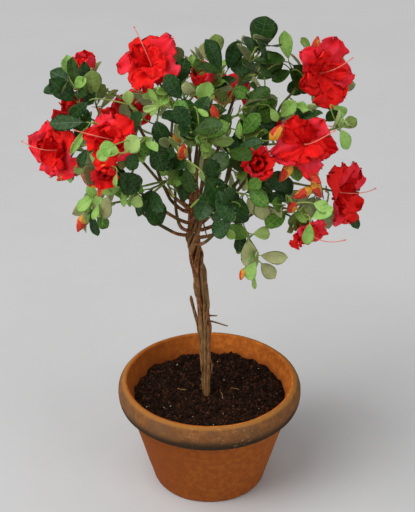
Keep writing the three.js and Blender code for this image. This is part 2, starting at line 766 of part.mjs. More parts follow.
// A bloom, ring by ring from its root, corner 0, to its throat, corner 1.
function bloomSolid(flower) {
  const at = ([out, along], angle) =>
    flower.base
      .clone()
      .addScaledVector(flower.faces, along)
      .addScaledVector(tilted(flower.faces, 90, flower.turn + angle), out);
  const fifths = [0, 1, 2, 3, 4];
  const ring = (place, turn) => fifths.map((n) => at(place, 72 * n + turn));
  const corners = [
    [at([0, BLOOM.root], 0), at([0, BLOOM.throat], 0)],
    ring(BLOOM.waist, 0),
    ring(BLOOM.lobe, 0),
    ring(BLOOM.notch, 36),
    ring(BLOOM.fold, 36),
    ring(BLOOM.innerLobe, 36),
    ring(BLOOM.innerNotch, 72),
  ].flat();
  const faces = fifths.flatMap((n) => {
    const next = (n + 1) % 5;
    const [waist, lobe, notch, fold, innerLobe, innerNotch] = [2, 7, 12, 17, 22, 27].map((first) => first + n);
    const [waistNext, lobeNext, foldNext, innerLobeNext] = [2, 7, 17, 22].map((first) => first + next);
    return [
      [0, waistNext, waist],
      [waist, notch, lobe],
      [waist, waistNext, notch],
      [waistNext, lobeNext, notch],
      [fold, lobe, notch],
      [fold, notch, lobeNext],
      [fold, lobeNext, foldNext],
      [fold, innerNotch, innerLobe],
      [fold, foldNext, innerNotch],
      [foldNext, innerLobeNext, innerNotch],
      [1, innerLobe, innerNotch],
      [1, innerNotch, innerLobeNext],
    ];
  });
  return solidOf(facetedSolid(corners, faces));
}

function flowerSolid(flower) {
  return flower.kind === "bloom" ? bloomSolid(flower) : turnedSolid(flower, FLOWERS[flower.kind]);
}

function massSolid(grown) {
  return wasm.Manifold.union([
    ...grown.twigs.map(twigSolid),
    ...grown.leaves.map(leafSolid),
    ...grown.flowers.map(flowerSolid),
  ]);
}

// ---- The plant ---------------------------------------------------------------------------

const material = (color, roughness) => new THREE.MeshStandardMaterial({ color, roughness, metalness: 0 });
const clay = material(COLOURS.clay, 0.85);
const earth = material(COLOURS.soil, 1);
const bark = material(COLOURS.bark, 0.8);
const foliage = material(COLOURS.foliage, 0.55);

const plant = new THREE.Group();

function add(name, geometry, finish) {
  const mesh = new THREE.Mesh(geometry, finish);
  mesh.name = name;
  plant.add(mesh);
}

add("pot", potGeometry(), clay);
add("soil", soilGeometry(), earth);

const stems = STEMS.map(stemLimb);
const boughs = boughLimbs();
const limbs = [...stems, ...boughs];
stems.forEach((limb, i) => add(limb.name, stemGeometry(limb, STEMS[i]), bark));
for (const limb of boughs) add(limb.name, limbGeometry(limb.centres, limb.radii, limb.sides), bark);

MASSES.forEach((mass, index) => {
  const grown = growMass(mass, 1000 + 37 * index, limbs);
  add("mass_" + mass.name, geometryOf(massSolid(grown)), foliage);
});

export default plant;
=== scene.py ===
"""The looks of an azalea standard in a clay pot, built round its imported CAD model.

The crown grows by the same rule as the CAD source, written again here in millimetres, and is then
carried on to finer twigs and more leaves within each mass's own box. Single leaves stand where the
photograph shows them. Pieces are made in metres.
"""

import math

import bpy
import numpy as np
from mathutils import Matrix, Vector


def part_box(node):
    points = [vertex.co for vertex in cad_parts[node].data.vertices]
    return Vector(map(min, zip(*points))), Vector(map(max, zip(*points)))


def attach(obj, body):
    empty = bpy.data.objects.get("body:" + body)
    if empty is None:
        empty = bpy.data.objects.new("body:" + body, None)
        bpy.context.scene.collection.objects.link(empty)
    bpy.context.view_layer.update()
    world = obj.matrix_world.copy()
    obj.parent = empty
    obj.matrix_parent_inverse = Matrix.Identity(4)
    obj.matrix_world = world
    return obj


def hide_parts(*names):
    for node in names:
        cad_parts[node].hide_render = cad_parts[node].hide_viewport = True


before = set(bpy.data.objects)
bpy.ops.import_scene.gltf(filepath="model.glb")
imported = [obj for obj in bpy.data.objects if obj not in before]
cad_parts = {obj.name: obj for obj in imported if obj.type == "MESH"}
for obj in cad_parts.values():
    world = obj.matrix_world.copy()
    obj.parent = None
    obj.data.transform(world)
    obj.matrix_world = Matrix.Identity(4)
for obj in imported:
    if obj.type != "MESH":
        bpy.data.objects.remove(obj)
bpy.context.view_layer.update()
MM = 0.001

# ---- The source's own sizes, in millimetres ----------------------------------------------

CLEARANCE = 0.3
POT = dict(height=130, base=64.5, rim=105, rim_height=30, roll=9, step=3, mouth=94.5, wall=8.5,
           floor=12, foot_round=4)
SOIL = dict(level=107, bump=1.6, flat=18)
TRUNK = dict(foot=(-3, 0), fork=372, lean=-8, bow=-7.5, bow_rise=2.2, sway=4, twist=(0.35, 0.45),
             twist_from=0.6, twist_to=0.85, rope=3.5, rope_growth=0.9, opening=6)
# Each spur is a share of the stem's height, a direction and a length.
STEMS = [
    dict(name="stem_thick", angle=300, foot=2.5, middle=3.3, top=3.2, start=0, end=1,
         spurs=[(0.37, (1, -0.12, -0.22), 24), (0.39, (0.9, -0.3, 0.3), 13)]),
    dict(name="stem_right", angle=60, foot=2.5, middle=2.5, top=2.4, start=0, end=1,
         spurs=[(0.87, (0.3, -0.55, -0.9), 18)]),
    dict(name="stem_back", angle=180, foot=2.4, middle=2.4, top=2.3, start=0, end=1, spurs=[]),
    dict(name="vine_low", angle=120, foot=1.7, middle=1.8, top=1.7, start=0, end=0.49, flare=5, spurs=[]),
    dict(name="vine_high", angle=240, foot=1.2, middle=1.4, top=1.3, start=0, end=0.85, flare=2.5, spurs=[]),
    dict(name="vine_front", angle=0, foot=1.1, middle=1.2, top=0.9, start=0, end=0.9, flare=3, spurs=[]),
]
BOUGH = dict(base=2, tip=1.3, steps=4, level_drop=8, lift=0.32)
HUB = np.array([-8.0, 0.0, 398.0])
TWIG = dict(base=1.5, tip=1.2, steps=2)
SPRAY = dict(length=44, spread=60, leader=58, tries=12)
WHORL = dict(below=3, step=2.2, lowest=0.6)
SIDE = dict(share=0.68, step=0.16, turn=45, tilt=62)  # the leaves below the whorl
GOLDEN_ANGLE = 137.508
CELL_MARGIN, LEAF_GAP, LIMB_GAP, TWIG_GAP = 0.4, 3, 3.6, 3
LEAF_TURNS = (0, 30, -30, 60, -60)
LEAVES = dict(dark=(35, 24, 0.16), middle=(29, 18, 0.12), young=(22, 12.5, 0.08))
LEAF_LIFT = 0.5
BLOOM_RADIUS, BLOOM_SPAN = 33, (4, 26)  # where its petals are, from and along its axis
FLOWERS = dict(
    bloom=dict(depth=12, out=33, along=12, end=22),
    bud=dict(depth=10, out=5, along=5, end=17),
    half=dict(depth=13, out=11.5, along=18, end=22),
)
SPRAYS = dict(
    bloom=(("young", 4), ("dark", 2), 80),
    half=(("young", 4), ("dark", 2), 66),
    bud=(("young", 4), ("middle", 2), 58),
    dark=(("dark", 4), ("dark", 2), 56),
    young=(("young", 4), ("middle", 2), 50),
    middle=(("middle", 4), ("middle", 2), 54),
)
# name, size, turn, what the rule adds, and the tips: where, what it carries, which way it faces.
MASSES = [
    ("upper_left", 36, 216, ["dark"], [
        ((-130, 30, 503), "half", (-0.2, -0.1, 1)), ((-150, 4, 482), "dark", None)]),
    ("left_rear", 40, 252, ["dark", "young"], [((-148, 54, 442), "bloom", (-0.8, 0.4, 0.4))]),
    ("left", 38, 36, ["dark", "bud"], [
        ((-160, -30, 431), "bloom", (-0.6, -0.75, 0.2)), ((-146, -12, 458), "dark", None)]),
    ("left_front", 46, 252, ["dark", "young"], [
        ((-99, -72, 463), "bloom", (-0.3, -0.85, 0.45)), ((-104, -86, 430), "half", (-0.1, -0.9, -0.2)),
        ((-90, -74, 410), "young", None)]),
    ("left_low", 38, 204, ["young"], [
        ((-134, -60, 360), "bud", (-0.4, 0, -1)), ((-116, -62, 386), "young", None)]),
    ("low_left", 38, 228, ["middle", "dark"], [
        ((-62, -62, 402), "dark", None), ((-80, -58, 400), "young", None)]),
    ("inner_left", 43, 84, ["dark", "dark"], [
        ((-50, -50, 440), "dark", None), ((-27, -62, 446), "bud", (0.2, -0.3, 1))]),
    ("top_left", 44, 240, ["dark", "young"], [((-61, 8, 514), "bloom", (-0.15, -0.6, 0.8))]),
    ("top_middle", 44, 96, ["dark"], [
        ((8, 24, 508), "bud", (0.1, -0.1, 1)), ((-7, 6, 498), "half", (-0.2, -0.3, 1))]),
    ("top", 41, 312, ["dark", "middle", "dark"], [
        ((52, 34, 528), "dark", None), ((64, 2, 512), "dark", None)]),
    ("top_right", 44, 168, ["young", "dark"], [
        ((119, 12, 500), "bloom", (0.5, -0.75, 0.3)), ((112, 48, 518), "bud", (0.2, 0.2, 1))]),
    ("right", 46, 252, ["bud", "young"], [
        ((97, -70, 456), "bloom", (0.15, -0.9, 0.35)), ((134, -34, 460), "young", None)]),
    ("centre_right", 42, 48, ["middle", "young", "dark"], [
        ((60, -24, 484), "dark", None), ((40, -32, 456), "dark", None)]),
    ("far_right", 39, 324, ["dark"], [((143, -8, 371), "bloom", (0.85, -0.5, 0.05))]),
    ("low_right", 45, 348, ["bud"], [
        ((103, -72, 355), "bloom", (0.5, -0.5, -0.6)), ((86, -78, 386), "young", None)]),
    ("middle_right", 42, 36, ["middle", "dark", "dark"], [
        ((48, -82, 441), "half", (0.1, -0.8, 0.5)), ((46, -72, 412), "dark", None)]),
    ("front", 41, 24, ["dark", "dark"], [
        ((8, -92, 420), "dark", None), ((24, -96, 400), "dark", None)]),
    ("low_front", 38, 24, ["bud"], [
        ((50, -84, 340), "young", None), ((16, -84, 382), "dark", None)]),
    ("centre", 46, 252, ["young", "dark"], [
        ((-16, -34, 476), "dark", None), ((6, -56, 456), "dark", None)]),
    ("rear_middle", 40, 120, ["dark", "young"], [((16, 92, 446), "bloom", (0.1, 0.7, 0.6))]),
    ("rear_left", 43, 144, ["dark", "bud"], [((-92, 100, 414), "bloom", (-0.4, 0.8, 0.3))]),
    ("rear_right", 43, 24, ["dark", "young"], [((102, 88, 400), "bloom", (0.5, 0.8, 0.3))]),
    ("rear_low", 41, 228, ["dark", "bud"], [((0, 122, 372), "dark", None)]),
    ("rear_top", 39, 48, ["dark", "bud"], [((-36, 72, 486), "dark", None)]),
]
MASS_NAMES = [m[0] for m in MASSES]
MASS_NODES = ["mass_" + name for name in MASS_NAMES]

# ---- Small tools -------------------------------------------------------------------------

UP = np.array([0.0, 0.0, 1.0])
AXIS_X = np.array([1.0, 0.0, 0.0])
WORD = 0xFFFFFFFF  # the largest whole number of 32 bits
HASH = np.array([374761393, 668265263, 1013904223])  # scatters the cells of the noise


def unit(v):
    v = np.asarray(v, float)
    return v / np.linalg.norm(v)


def random_from(seed):
    """The source's repeatable run of numbers from 0 to 1."""
    state = [seed]

    def draw():
        state[0] = (state[0] * 1664525 + 1013904223) & WORD
        return state[0] / (WORD + 1)

    return draw


def smooth(low, high, t):
    x = np.clip((t - low) / (high - low), 0, 1)
    return x * x * (3 - 2 * x)


def tilted(axis, tilt, angle):
    """A direction tilted away from an axis, at an angle about it, both in degrees."""
    side = unit(np.cross(UP, axis) if abs(axis[2]) < 0.9 else np.cross(AXIS_X, axis))
    other = np.cross(axis, side)
    tilt, angle = math.radians(tilt), math.radians(angle)
    return (axis * math.cos(tilt) + side * math.sin(tilt) * math.cos(angle)
            + other * math.sin(tilt) * math.sin(angle))


def square_to(axis, v):
    """What is left of a direction square to an axis, at length one."""
    return unit(v - axis * v.dot(axis))


def bezier(a, b, c, t):
    t = np.asarray(t, float)[..., None]
    return a * (1 - t) ** 2 + b * 2 * t * (1 - t) + c * t * t


def curve_at(curve, t):
    a, b, c = curve
    return bezier(a, b, c, t), unit(2 * (1 - t) * (b - a) + 2 * t * (c - b))


def stacked(*coordinates):
    """Points from their coordinates, each a number or an array."""
    return np.stack(np.broadcast_arrays(*coordinates), -1)


def polar(radius, angle, height):
    return stacked(radius * np.cos(angle), radius * np.sin(angle), height)


def round_angles(count):
    return np.arange(count) * 2 * math.pi / count


def noise(p, seed=0):
    """Smooth noise from -1 to 1 over points of three coordinates."""
    p = np.asarray(p, float)
    cell = np.floor(p).astype(np.int64)
    f = p - cell
    f = f * f * (3 - 2 * f)
    total = np.zeros(p.shape[:-1])
    for corner in np.ndindex(2, 2, 2):
        h = (((cell + corner) * HASH).sum(-1) + seed * 69069) & WORD
        h = ((h ^ (h >> 13)) * 1274126177) & WORD
        h = h ^ (h >> 16)
        total += np.where(np.array(corner) == 1, f, 1 - f).prod(-1) * (2 * h / (WORD + 1) - 1)
    return total


def linked(name, data):
    """A new object in the scene."""
    made = bpy.data.objects.new(name, data)
    bpy.context.scene.collection.objects.link(made)
    return made


class Heap:
    """Gathers many small meshes into one piece, each face with its material slot."""

    def __init__(self):
        self.points, self.faces, self.slots, self.count = [], [], [], 0

    def add(self, points, faces, slot=0):
        """faces is one array, or several with a slot each."""
        points = np.asarray(points, float).reshape(-1, 3)
        for group, its_slot in [(faces, slot)] if isinstance(faces, np.ndarray) else zip(faces, slot):
            if len(group):
                self.faces.append(group + self.count)
                self.slots.append(np.full(len(group), its_slot))
        self.points.append(points)
        self.count += len(points)

    def piece(self, name, materials, slot, nodes=()):
        mesh = bpy.data.meshes.new(name)
        points = np.concatenate(self.points) * MM
        corners = np.concatenate([f.ravel() for f in self.faces])
        sizes = np.concatenate([np.full(len(f), f.shape[1]) for f in self.faces])
        starts = np.concatenate([[0], np.cumsum(sizes)[:-1]])
        mesh.vertices.add(len(points))
        mesh.loops.add(len(corners))
        mesh.polygons.add(len(sizes))
        mesh.vertices.foreach_set("co", points.ravel())
        mesh.loops.foreach_set("vertex_index", corners.astype(np.int32))
        mesh.polygons.foreach_set("loop_start", starts.astype(np.int32))
        mesh.polygons.foreach_set("material_index", np.concatenate(self.slots).astype(np.int32))
        for material in materials:
            mesh.materials.append(material)
        mesh.update(calc_edges=True)
        mesh.validate()
        mesh.shade_smooth()
        piece = linked(name, mesh)
        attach(piece, "root")
        if nodes:
            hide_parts(*nodes)


def foliage_piece(heap, name, *materials):
    heap.piece(name, materials, "foliage", MASS_NODES)


def grid_faces(rows, columns, wrap=False):
    """Quads over a grid of points, row by row. wrap joins the last column to the first."""
    i, j = np.meshgrid(np.arange(rows - 1), np.arange(columns if wrap else columns - 1), indexing="ij")
    near, far = i * columns, (i + 1) * columns
    k = (j + 1) % columns
    return np.stack([near + j, near + k, far + k, far + j], -1).reshape(-1, 4)


def tube(heap, path, radii, sides, slot=0, relief=None):
    """A closed round limb along a path. relief gives the radius of every point from its ring,
    its place along the path in millimetres and its angle."""
    path = np.asarray(path, float)
    count = len(path)
    radii = np.broadcast_to(np.asarray(radii, float), (count,))
    tangent = np.gradient(path, axis=0)
    tangent /= np.linalg.norm(tangent, axis=1)[:, None]
    normal = UP if abs(tangent[0][2]) < 0.9 else AXIS_X
    across = np.empty_like(path)
    for i in range(count):
        normal = across[i] = square_to(tangent[i], normal)
    other = np.cross(tangent, across)
    angle = round_angles(sides)
    reach = np.repeat(radii[:, None], sides, 1)
    if relief:
        far = np.concatenate([[0], np.cumsum(np.linalg.norm(np.diff(path, axis=0), axis=1))])
        reach = relief(reach, *np.broadcast_arrays(far[:, None], angle))
    ring = (path[:, None] + across[:, None] * (np.cos(angle)[:, None] * reach[..., None])
            + other[:, None] * (np.sin(angle)[:, None] * reach[..., None]))
    ends = [path[0] - tangent[0] * radii[0] * 0.3, path[-1] + tangent[-1] * radii[-1] * 0.5]
    j = np.arange(sides)
    k = (j + 1) % sides
    last = (count - 1) * sides
    caps = np.concatenate([stacked(k, j, count * sides), stacked(last + j, last + k, count * sides + 1)])
    points = np.concatenate([ring.reshape(-1, 3), ends])
    heap.add(points, [grid_faces(count, sides, True), caps], [slot, slot])


# ---- Materials ---------------------------------------------------------------------------


def linear(colour):
    """A colour as seen on a screen, as the shader takes it."""
    return tuple((c / 12.92 if c <= 0.04045 else ((c + 0.055) / 1.055) ** 2.4) for c in colour) + (1.0,)


class Finish:
    """A node material under construction."""

    def __init__(self, name, roughness=0.6, **uniform):
        self.material = bpy.data.materials.new(name)
        self.material.use_nodes = True
        self.tree = self.material.node_tree
        self.shader = self.tree.nodes["Principled BSDF"]
        self.shader.inputs["Roughness"].default_value = roughness
        for key, value in uniform.items():
            self.shader.inputs[key.replace("_", " ")].default_value = value
        self.place = self.add("ShaderNodeTexCoord").outputs["Object"]

    def join(self, socket, value):
        if isinstance(value, bpy.types.NodeSocket):
            self.tree.links.new(value, socket)
        else:
            socket.default_value = value

    def add(self, kind, inputs=None, **settings):
        node = self.tree.nodes.new(kind)
        for key, value in settings.items():
            setattr(node, key, value)
        for key, value in (inputs or {}).items():
            self.join(node.inputs[key], value)
        return node

    def noise(self, scale, detail=3, roughness=0.6, stretch=None, distortion=0.0):
        place = self.place
        if stretch:
            place = self.add("ShaderNodeMapping", {"Vector": place, "Scale": stretch}).outputs["Vector"]
        return self.add("ShaderNodeTexNoise", {
            "Vector": place, "Scale": scale, "Detail": detail, "Roughness": roughness,
            "Distortion": distortion}).outputs["Fac"]

    def specks(self, scale, size):
        """Round spots scattered over the surface, one where they are and nothing elsewhere."""
        cells = self.add("ShaderNodeTexVoronoi", {"Vector": self.place, "Scale": scale})
        return self.between(cells.outputs["Distance"], size, size * 0.6)

    def between(self, value, low, high, to_low=0.0, to_high=1.0):
        return self.add("ShaderNodeMapRange", {
            "Value": value, "From Min": low, "From Max": high, "To Min": to_low, "To Max": to_high},
            interpolation_type="SMOOTHSTEP").outputs["Result"]

    def plus(self, a, b):
        return self.add("ShaderNodeMath", {0: a, 1: b}, operation="ADD").outputs[0]

    def times(self, a, b):
        return self.add("ShaderNodeMath", {0: a, 1: b}, operation="MULTIPLY").outputs[0]

    def mix(self, share, a, b):
        node = self.add("ShaderNodeMix", data_type="RGBA")
        colours = [linear(c) if isinstance(c, tuple) else c for c in (a, b)]
        for place, value in zip((0, 6, 7), (share, *colours)):
            self.join(node.inputs[place], value)
        return node.outputs[2]

    def over(self, base, tint, mask, strength):
        """A tint laid over a base as strongly as a mask and a number say."""
        return self.mix(self.times(mask, strength), base, tint)

    def set(self, name, socket):
        self.tree.links.new(socket, self.shader.inputs[name])

    def bump(self, height, strength, distance=0.0004):
        self.set("Normal", self.add("ShaderNodeBump", {
            "Height": height, "Strength": strength, "Distance": distance}).outputs["Normal"])


def cloth_finish(name, colour, other, third, grain=90, roughness=0.5, sheen=0.0, tint=None, specular=0.4):
    """Dyed cloth of a leaf or a petal: soft patches of three near colours over a fine weave."""
    f = Finish(name, roughness, Sheen_Weight=sheen, Sheen_Roughness=0.4, Specular_IOR_Level=specular)
    if tint:
        f.shader.inputs["Sheen Tint"].default_value = linear(tint)
    tone = f.mix(f.between(f.noise(grain), 0.38, 0.66), colour, other)
    f.set("Base Color", f.over(tone, third, f.between(f.noise(grain * 4, 2, 0.5), 0.42, 0.72), 0.5))
    f.bump(f.plus(f.noise(2600, 2, 0.7), f.noise(520, 2)), 0.35, 0.0002)
    f.set("Roughness", f.between(f.noise(grain * 2, 2), 0.3, 0.7, roughness - 0.07, roughness + 0.1))
    return f.material


def bark_finish(name, colour, light, dark, grey):
    """Stringy bark: painted shade darkens the grooves between its fibres, a painted highlight lightens their
    raised ridges, and grey lies in patches.
    """
    f = Finish(name, 0.8, Specular_IOR_Level=0.25)
    fibre = f.noise(900, 4, 0.7, (1, 1, 0.12), 0.3)
    # Painted shade: the low parts of the fibre bump, the grooves between fibres, take the dark colour.
    tone = f.mix(f.between(fibre, 0.35, 0.68), dark, colour)
    # Painted highlight: the high parts of the fibre bump, the raised fibre ridges, take the light colour.
    tone = f.over(tone, light, f.between(fibre, 0.55, 0.75), 0.75)
    f.set("Base Color", f.over(tone, grey, f.between(f.noise(60, 3, 0.6, (1, 1, 0.5)), 0.42, 0.6), 0.55))
    f.bump(f.plus(fibre, f.noise(1800, 3, 0.7, (1, 1, 0.3))), 1.0, 0.0009)
    return f.material


def clay_finish():
    """Fired clay: orange wall, browner rim with a dark band low on the roll, pale lime crust, and painted
    shade darkening the left of the inside wall.
    """
    f = Finish("clay", 0.85, Specular_IOR_Level=0.12)
    x, y, z = f.add("ShaderNodeSeparateXYZ", {"Vector": f.place}).outputs
    flat = f.add("ShaderNodeCombineXYZ", {"X": x, "Y": y}).outputs[0]
    radius = f.add("ShaderNodeVectorMath", {0: flat}, operation="LENGTH").outputs["Value"]
    cloud, mottle, grit = f.noise(22, 4, 0.62), f.noise(140, 4, 0.7), f.noise(900, 3, 0.7)
    # Each part of the pot is told by its heights and radii, in metres.
    ragged = f.plus(z, f.times(f.plus(cloud, -0.5), 0.008))
    on_rim = f.between(ragged, 0.0995, 0.1015)
    band = f.times(f.between(ragged, 0.1185, 0.1065), on_rim)
    lip = f.between(z, 0.1268, 0.1292)
    inside = f.between(radius, 0.0972, 0.0958)
    near_soil = f.between(z, 0.118, 0.106)
    # Mask of the painted shade on the inside wall, growing towards its left side.
    left = f.between(x, 0.03, -0.07)
    front = f.between(y, -0.082, -0.098)

    wall = f.mix(f.between(cloud, 0.36, 0.64), (0.54, 0.245, 0.052), (0.62, 0.32, 0.092))
    wall = f.over(wall, (0.46, 0.22, 0.07), f.between(mottle, 0.5, 0.72), 0.5)
    rim = f.mix(f.between(mottle, 0.38, 0.66), (0.46, 0.30, 0.175), (0.56, 0.365, 0.205))
    rim = f.over(rim, (0.42, 0.31, 0.22), f.between(cloud, 0.45, 0.68), 0.6)
    inner = f.mix(f.between(mottle, 0.4, 0.65), (0.72, 0.38, 0.13), (0.84, 0.48, 0.18))
    inner = f.over(inner, (0.42, 0.20, 0.10), near_soil, 0.5)
    # Painted shade: the inside wall darkens towards the left.
    inner = f.over(inner, (0.50, 0.24, 0.07), left, 0.6)
    colour = f.over(f.mix(on_rim, wall, rim), (0.20, 0.155, 0.105), band, 0.97)
    colour = f.mix(inside, f.over(colour, (0.72, 0.48, 0.20), lip, 0.6), inner)
    # Lime on the front of the rim, where it dried, and dark dots all over.
    crust = f.times(f.between(f.noise(330, 4, 0.75), 0.60, 0.66), front)
    crust = f.times(f.times(crust, f.between(f.noise(48, 2), 0.5, 0.6)), on_rim)
    colour = f.over(colour, (0.74, 0.66, 0.50), crust, 0.8)
    dots = f.times(f.specks(190, 0.13), f.between(f.noise(35, 2), 0.5, 0.62))
    f.set("Base Color", f.over(colour, (0.22, 0.13, 0.08), dots, 0.8))
    f.set("Roughness", f.between(mottle, 0.3, 0.7, 0.78, 0.95))
    f.bump(f.plus(grit, f.times(mottle, 1.5)), 0.45, 0.0005)
    return f.material


def plain_finish(name, colour, other, scale=60, roughness=0.7, bump=0.4, fine=1500):
    f = Finish(name, roughness, Specular_IOR_Level=0.08)
    f.set("Base Color", f.mix(f.between(f.noise(scale, 4, 0.7), 0.38, 0.64), colour, other))
    f.bump(f.noise(fine, 3, 0.7), bump, 0.0004)
    return f.material


# ---- Camera, light and floor -------------------------------------------------------------

CAMERA_FAR, CAMERA_TILT, CAMERA_AIM, FOCAL = 1600, math.radians(29.1), np.array([-2.1, 0, 290]), 1459
PHOTO = np.array([415, 512])
AHEAD = np.array([0, math.cos(CAMERA_TILT), -math.sin(CAMERA_TILT)])
OVERHEAD = np.array([0, math.sin(CAMERA_TILT), math.cos(CAMERA_TILT)])
EYE = CAMERA_AIM - AHEAD * CAMERA_FAR
ROOM = 6  # metres from the middle of the floor to its sides

camera_data = bpy.data.cameras.new("camera")
camera_data.sensor_width = 36
camera_data.lens = FOCAL / PHOTO[1] * camera_data.sensor_width
camera_data.clip_end = 20
camera = linked("camera", camera_data)
camera.location = Vector(EYE) * MM
camera.rotation_euler = (math.pi / 2 - CAMERA_TILT, 0, 0)
bpy.context.scene.camera = camera
bpy.context.scene.view_settings.view_transform = "Standard"


def add_light(name, kind, power, way, **settings):
    data = bpy.data.lights.new(name, kind)
    data.energy = power
    for key, value in settings.items():
        setattr(data, key, value)
    light = linked(name, data)
    light.rotation_euler = way.to_track_quat("-Z", "Y").to_euler()
    return light


for light_name, place, power in (("fill", (1.3, -1.3, 1.2), 6), ("side", (-1.5, -0.7, 1.15), 9)):
    way = Vector((0, 0, 0.35)) - Vector(place)
    add_light(light_name, "AREA", power, way, shape="DISK", size=1.2).location = place
add_light("key", "SUN", 1.6, Vector((0.62, 0.42, -1.25)), angle=math.radians(42))
world = bpy.data.worlds.new("studio")
world.use_nodes = True
world.node_tree.nodes["Background"].inputs["Color"].default_value = (1, 1, 1, 1)
world.node_tree.nodes["Background"].inputs["Strength"].default_value = 0.41
bpy.context.scene.world = world

floor_mesh = bpy.data.meshes.new("floor")
floor_corners = [(-ROOM, -ROOM, 0), (ROOM, -ROOM, 0), (ROOM, ROOM, 0), (-ROOM, ROOM, 0)]
floor_mesh.from_pydata(floor_corners, [], [(0, 1, 2, 3)])
floor_mesh.materials.append(plain_finish("paper", (0.80, 0.80, 0.80), (0.79, 0.79, 0.79), 3, 0.9, 0.05, 300))
linked("floor", floor_mesh)

# ---- Pot ---------------------------------------------------------------------------------


def outer_radius(z):
    top = POT["rim"] - POT["roll"] - POT["step"]
    return POT["base"] + (top - POT["base"]) * z / (POT["height"] - POT["rim_height"])


def inner_radius(z):
    foot = POT["base"] - POT["wall"]
    return foot + (POT["mouth"] - 1 - foot) * (z - POT["floor"]) / (POT["height"] - 3 - POT["floor"])


def pot_profile():
    """Radius and height from the middle of the underside, up the outside and down the inside."""
    rounding, floor, mouth, top = POT["foot_round"], POT["floor"], POT["mouth"], POT["height"]
    foot = outer_radius(rounding) - rounding
    roll_foot = top - POT["rim_height"]
    points = [(r, 0) for r in np.linspace(0.001, foot, 8)]
    points += [(foot + rounding * math.sin(turn), rounding * (1 - math.cos(turn)))
               for turn in np.linspace(0.15, math.pi / 2, 6)]
    points += [(outer_radius(z), z) for z in np.linspace(8, 97.5, 30)]
    # A groove below the roll, the roll, and the worn lip, told from the mouth and the top.
    points += [(outer_radius(98.6) - 0.5, 98.8)]
    points += [(outer_radius(99) + out, z) for out, z in ((-0.1, 99.8), (1.6, 100))]
    points += [(POT["rim"] - POT["roll"] + POT["roll"] * math.sin(turn) ** 0.75,
                roll_foot + (POT["rim_height"] - 0.6) * (1 - math.cos(turn)) / 2)
               for turn in np.linspace(0.3, math.pi * 0.93, 26)]
    points += [(mouth + out, top - down) for out, down in (
        (3.0, 0.55), (2.2, 0.15), (1.3, 0), (0.5, 0.15), (-0.3, 0.7), (-0.7, 1.7))]
    points += [(inner_radius(z), z) for z in np.linspace(top - 3, floor + 2, 24)]
    points += [(r, floor) for r in np.linspace(inner_radius(floor) - 1.5, 0.001, 6)]
    return np.array(points)


def make_pot():
    segments = 192
    angle = round_angles(segments)
    r, z = pot_profile().T[..., None]
    uneven = (0.45 * noise(polar(2.0, angle, z * 0.03), 1) + 0.16 * noise(polar(0.6, angle, z * 0.9), 2)
              + 0.16 * noise(polar(r * 0.16, angle, z * 0.16), 3))
    share = smooth(20, 60, r)
    lift = share * smooth(90, 128, z) * 0.35 * noise(polar(1.7, angle, 0 * z), 4)
    heap = Heap()
    heap.add(polar(r + share * uneven, angle, z + lift), grid_faces(len(r), segments, True))
    heap.piece("clay_pot", [clay_finish()], "clay", ["pot"])


# ---- Soil --------------------------------------------------------------------------------


def crumb_shape():
    """The corners and faces of a ball of 20 triangles."""
    g = (1 + 5 ** 0.5) / 2
    points = np.array([(-1, g, 0), (1, g, 0), (-1, -g, 0), (1, -g, 0), (0, -1, g), (0, 1, g), (0, -1, -g),
                       (0, 1, -g), (g, 0, -1), (g, 0, 1), (-g, 0, -1), (-g, 0, 1)], float) / 1.9
    faces = np.array([(0, 11, 5), (0, 5, 1), (0, 1, 7), (0, 7, 10), (0, 10, 11), (1, 5, 9), (5, 11, 4),
                      (11, 10, 2), (10, 7, 6), (7, 1, 8), (3, 9, 4), (3, 4, 2), (3, 2, 6), (3, 6, 8),
                      (3, 8, 9), (4, 9, 5), (2, 4, 11), (6, 2, 10), (8, 6, 7), (9, 8, 1)])
    return points, faces


CRUMB, CRUMB_FACES = crumb_shape()
CRUMBS, STRAWS, FIBRES, SPECKS = 3600, 4, 416, 22
STEMS_REACH = 9  # no fibre lies nearer than this to the trunk's foot
SOIL_EDGE = inner_radius(SOIL["level"]) - 0.2


def soil_height(x, y):
    """The source's rises and dips with clods on them."""
    far = np.hypot(x, y)
    flat = stacked(x, y, 0 * x)
    waves = np.sin(x * 0.21 + 1.3) * np.cos(y * 0.17 - 0.4) + 0.6 * np.sin(x * 0.09 - y * 0.31)
    clods = 1.5 * noise(flat * 0.16, 11) + 1.3 * noise(flat * 0.42, 12) + 0.6 * noise(flat * 1.1, 13)
    edge = smooth(72, 92, far) * (1.2 + 2.6 * noise(flat * 0.09, 14))
    rises = SOIL["bump"] * smooth(SOIL["flat"], SOIL["flat"] * 2.2, far) * waves
    return SOIL["level"] + rises + clods * smooth(4, 14, far) + edge


def scattered(rng, margin, count=None):
    """Places spread evenly over the soil, no nearer to its edge than a margin."""
    far, turn = np.sqrt(rng.random(count)) * (SOIL_EDGE - margin), rng.random(count) * 2 * math.pi
    return far * np.cos(turn), far * np.sin(turn)


def make_soil_bed():
    segments, rings = 220, 80
    angle = round_angles(segments)
    r = np.linspace(SOIL_EDGE, 0.4, rings)[:, None]
    x, y = r * np.cos(angle), r * np.sin(angle)
    top = stacked(x, y, soil_height(x, y))
    foot = POT["floor"] + CLEARANCE
    rows = ((0.4, foot), (inner_radius(foot) - 0.6, foot), (SOIL_EDGE - 3, 92))
    below = [polar(r, angle, z) for r, z in rows]
    heap = Heap()
    heap.add(np.concatenate([below, top]), grid_faces(len(below) + rings, segments, True))
    peat = plain_finish("peat", (0.085, 0.053, 0.034), (0.19, 0.115, 0.075), 260, 0.95, 0.8, 1400)
    heap.piece("soil_bed", [peat], "soil", ["soil"])


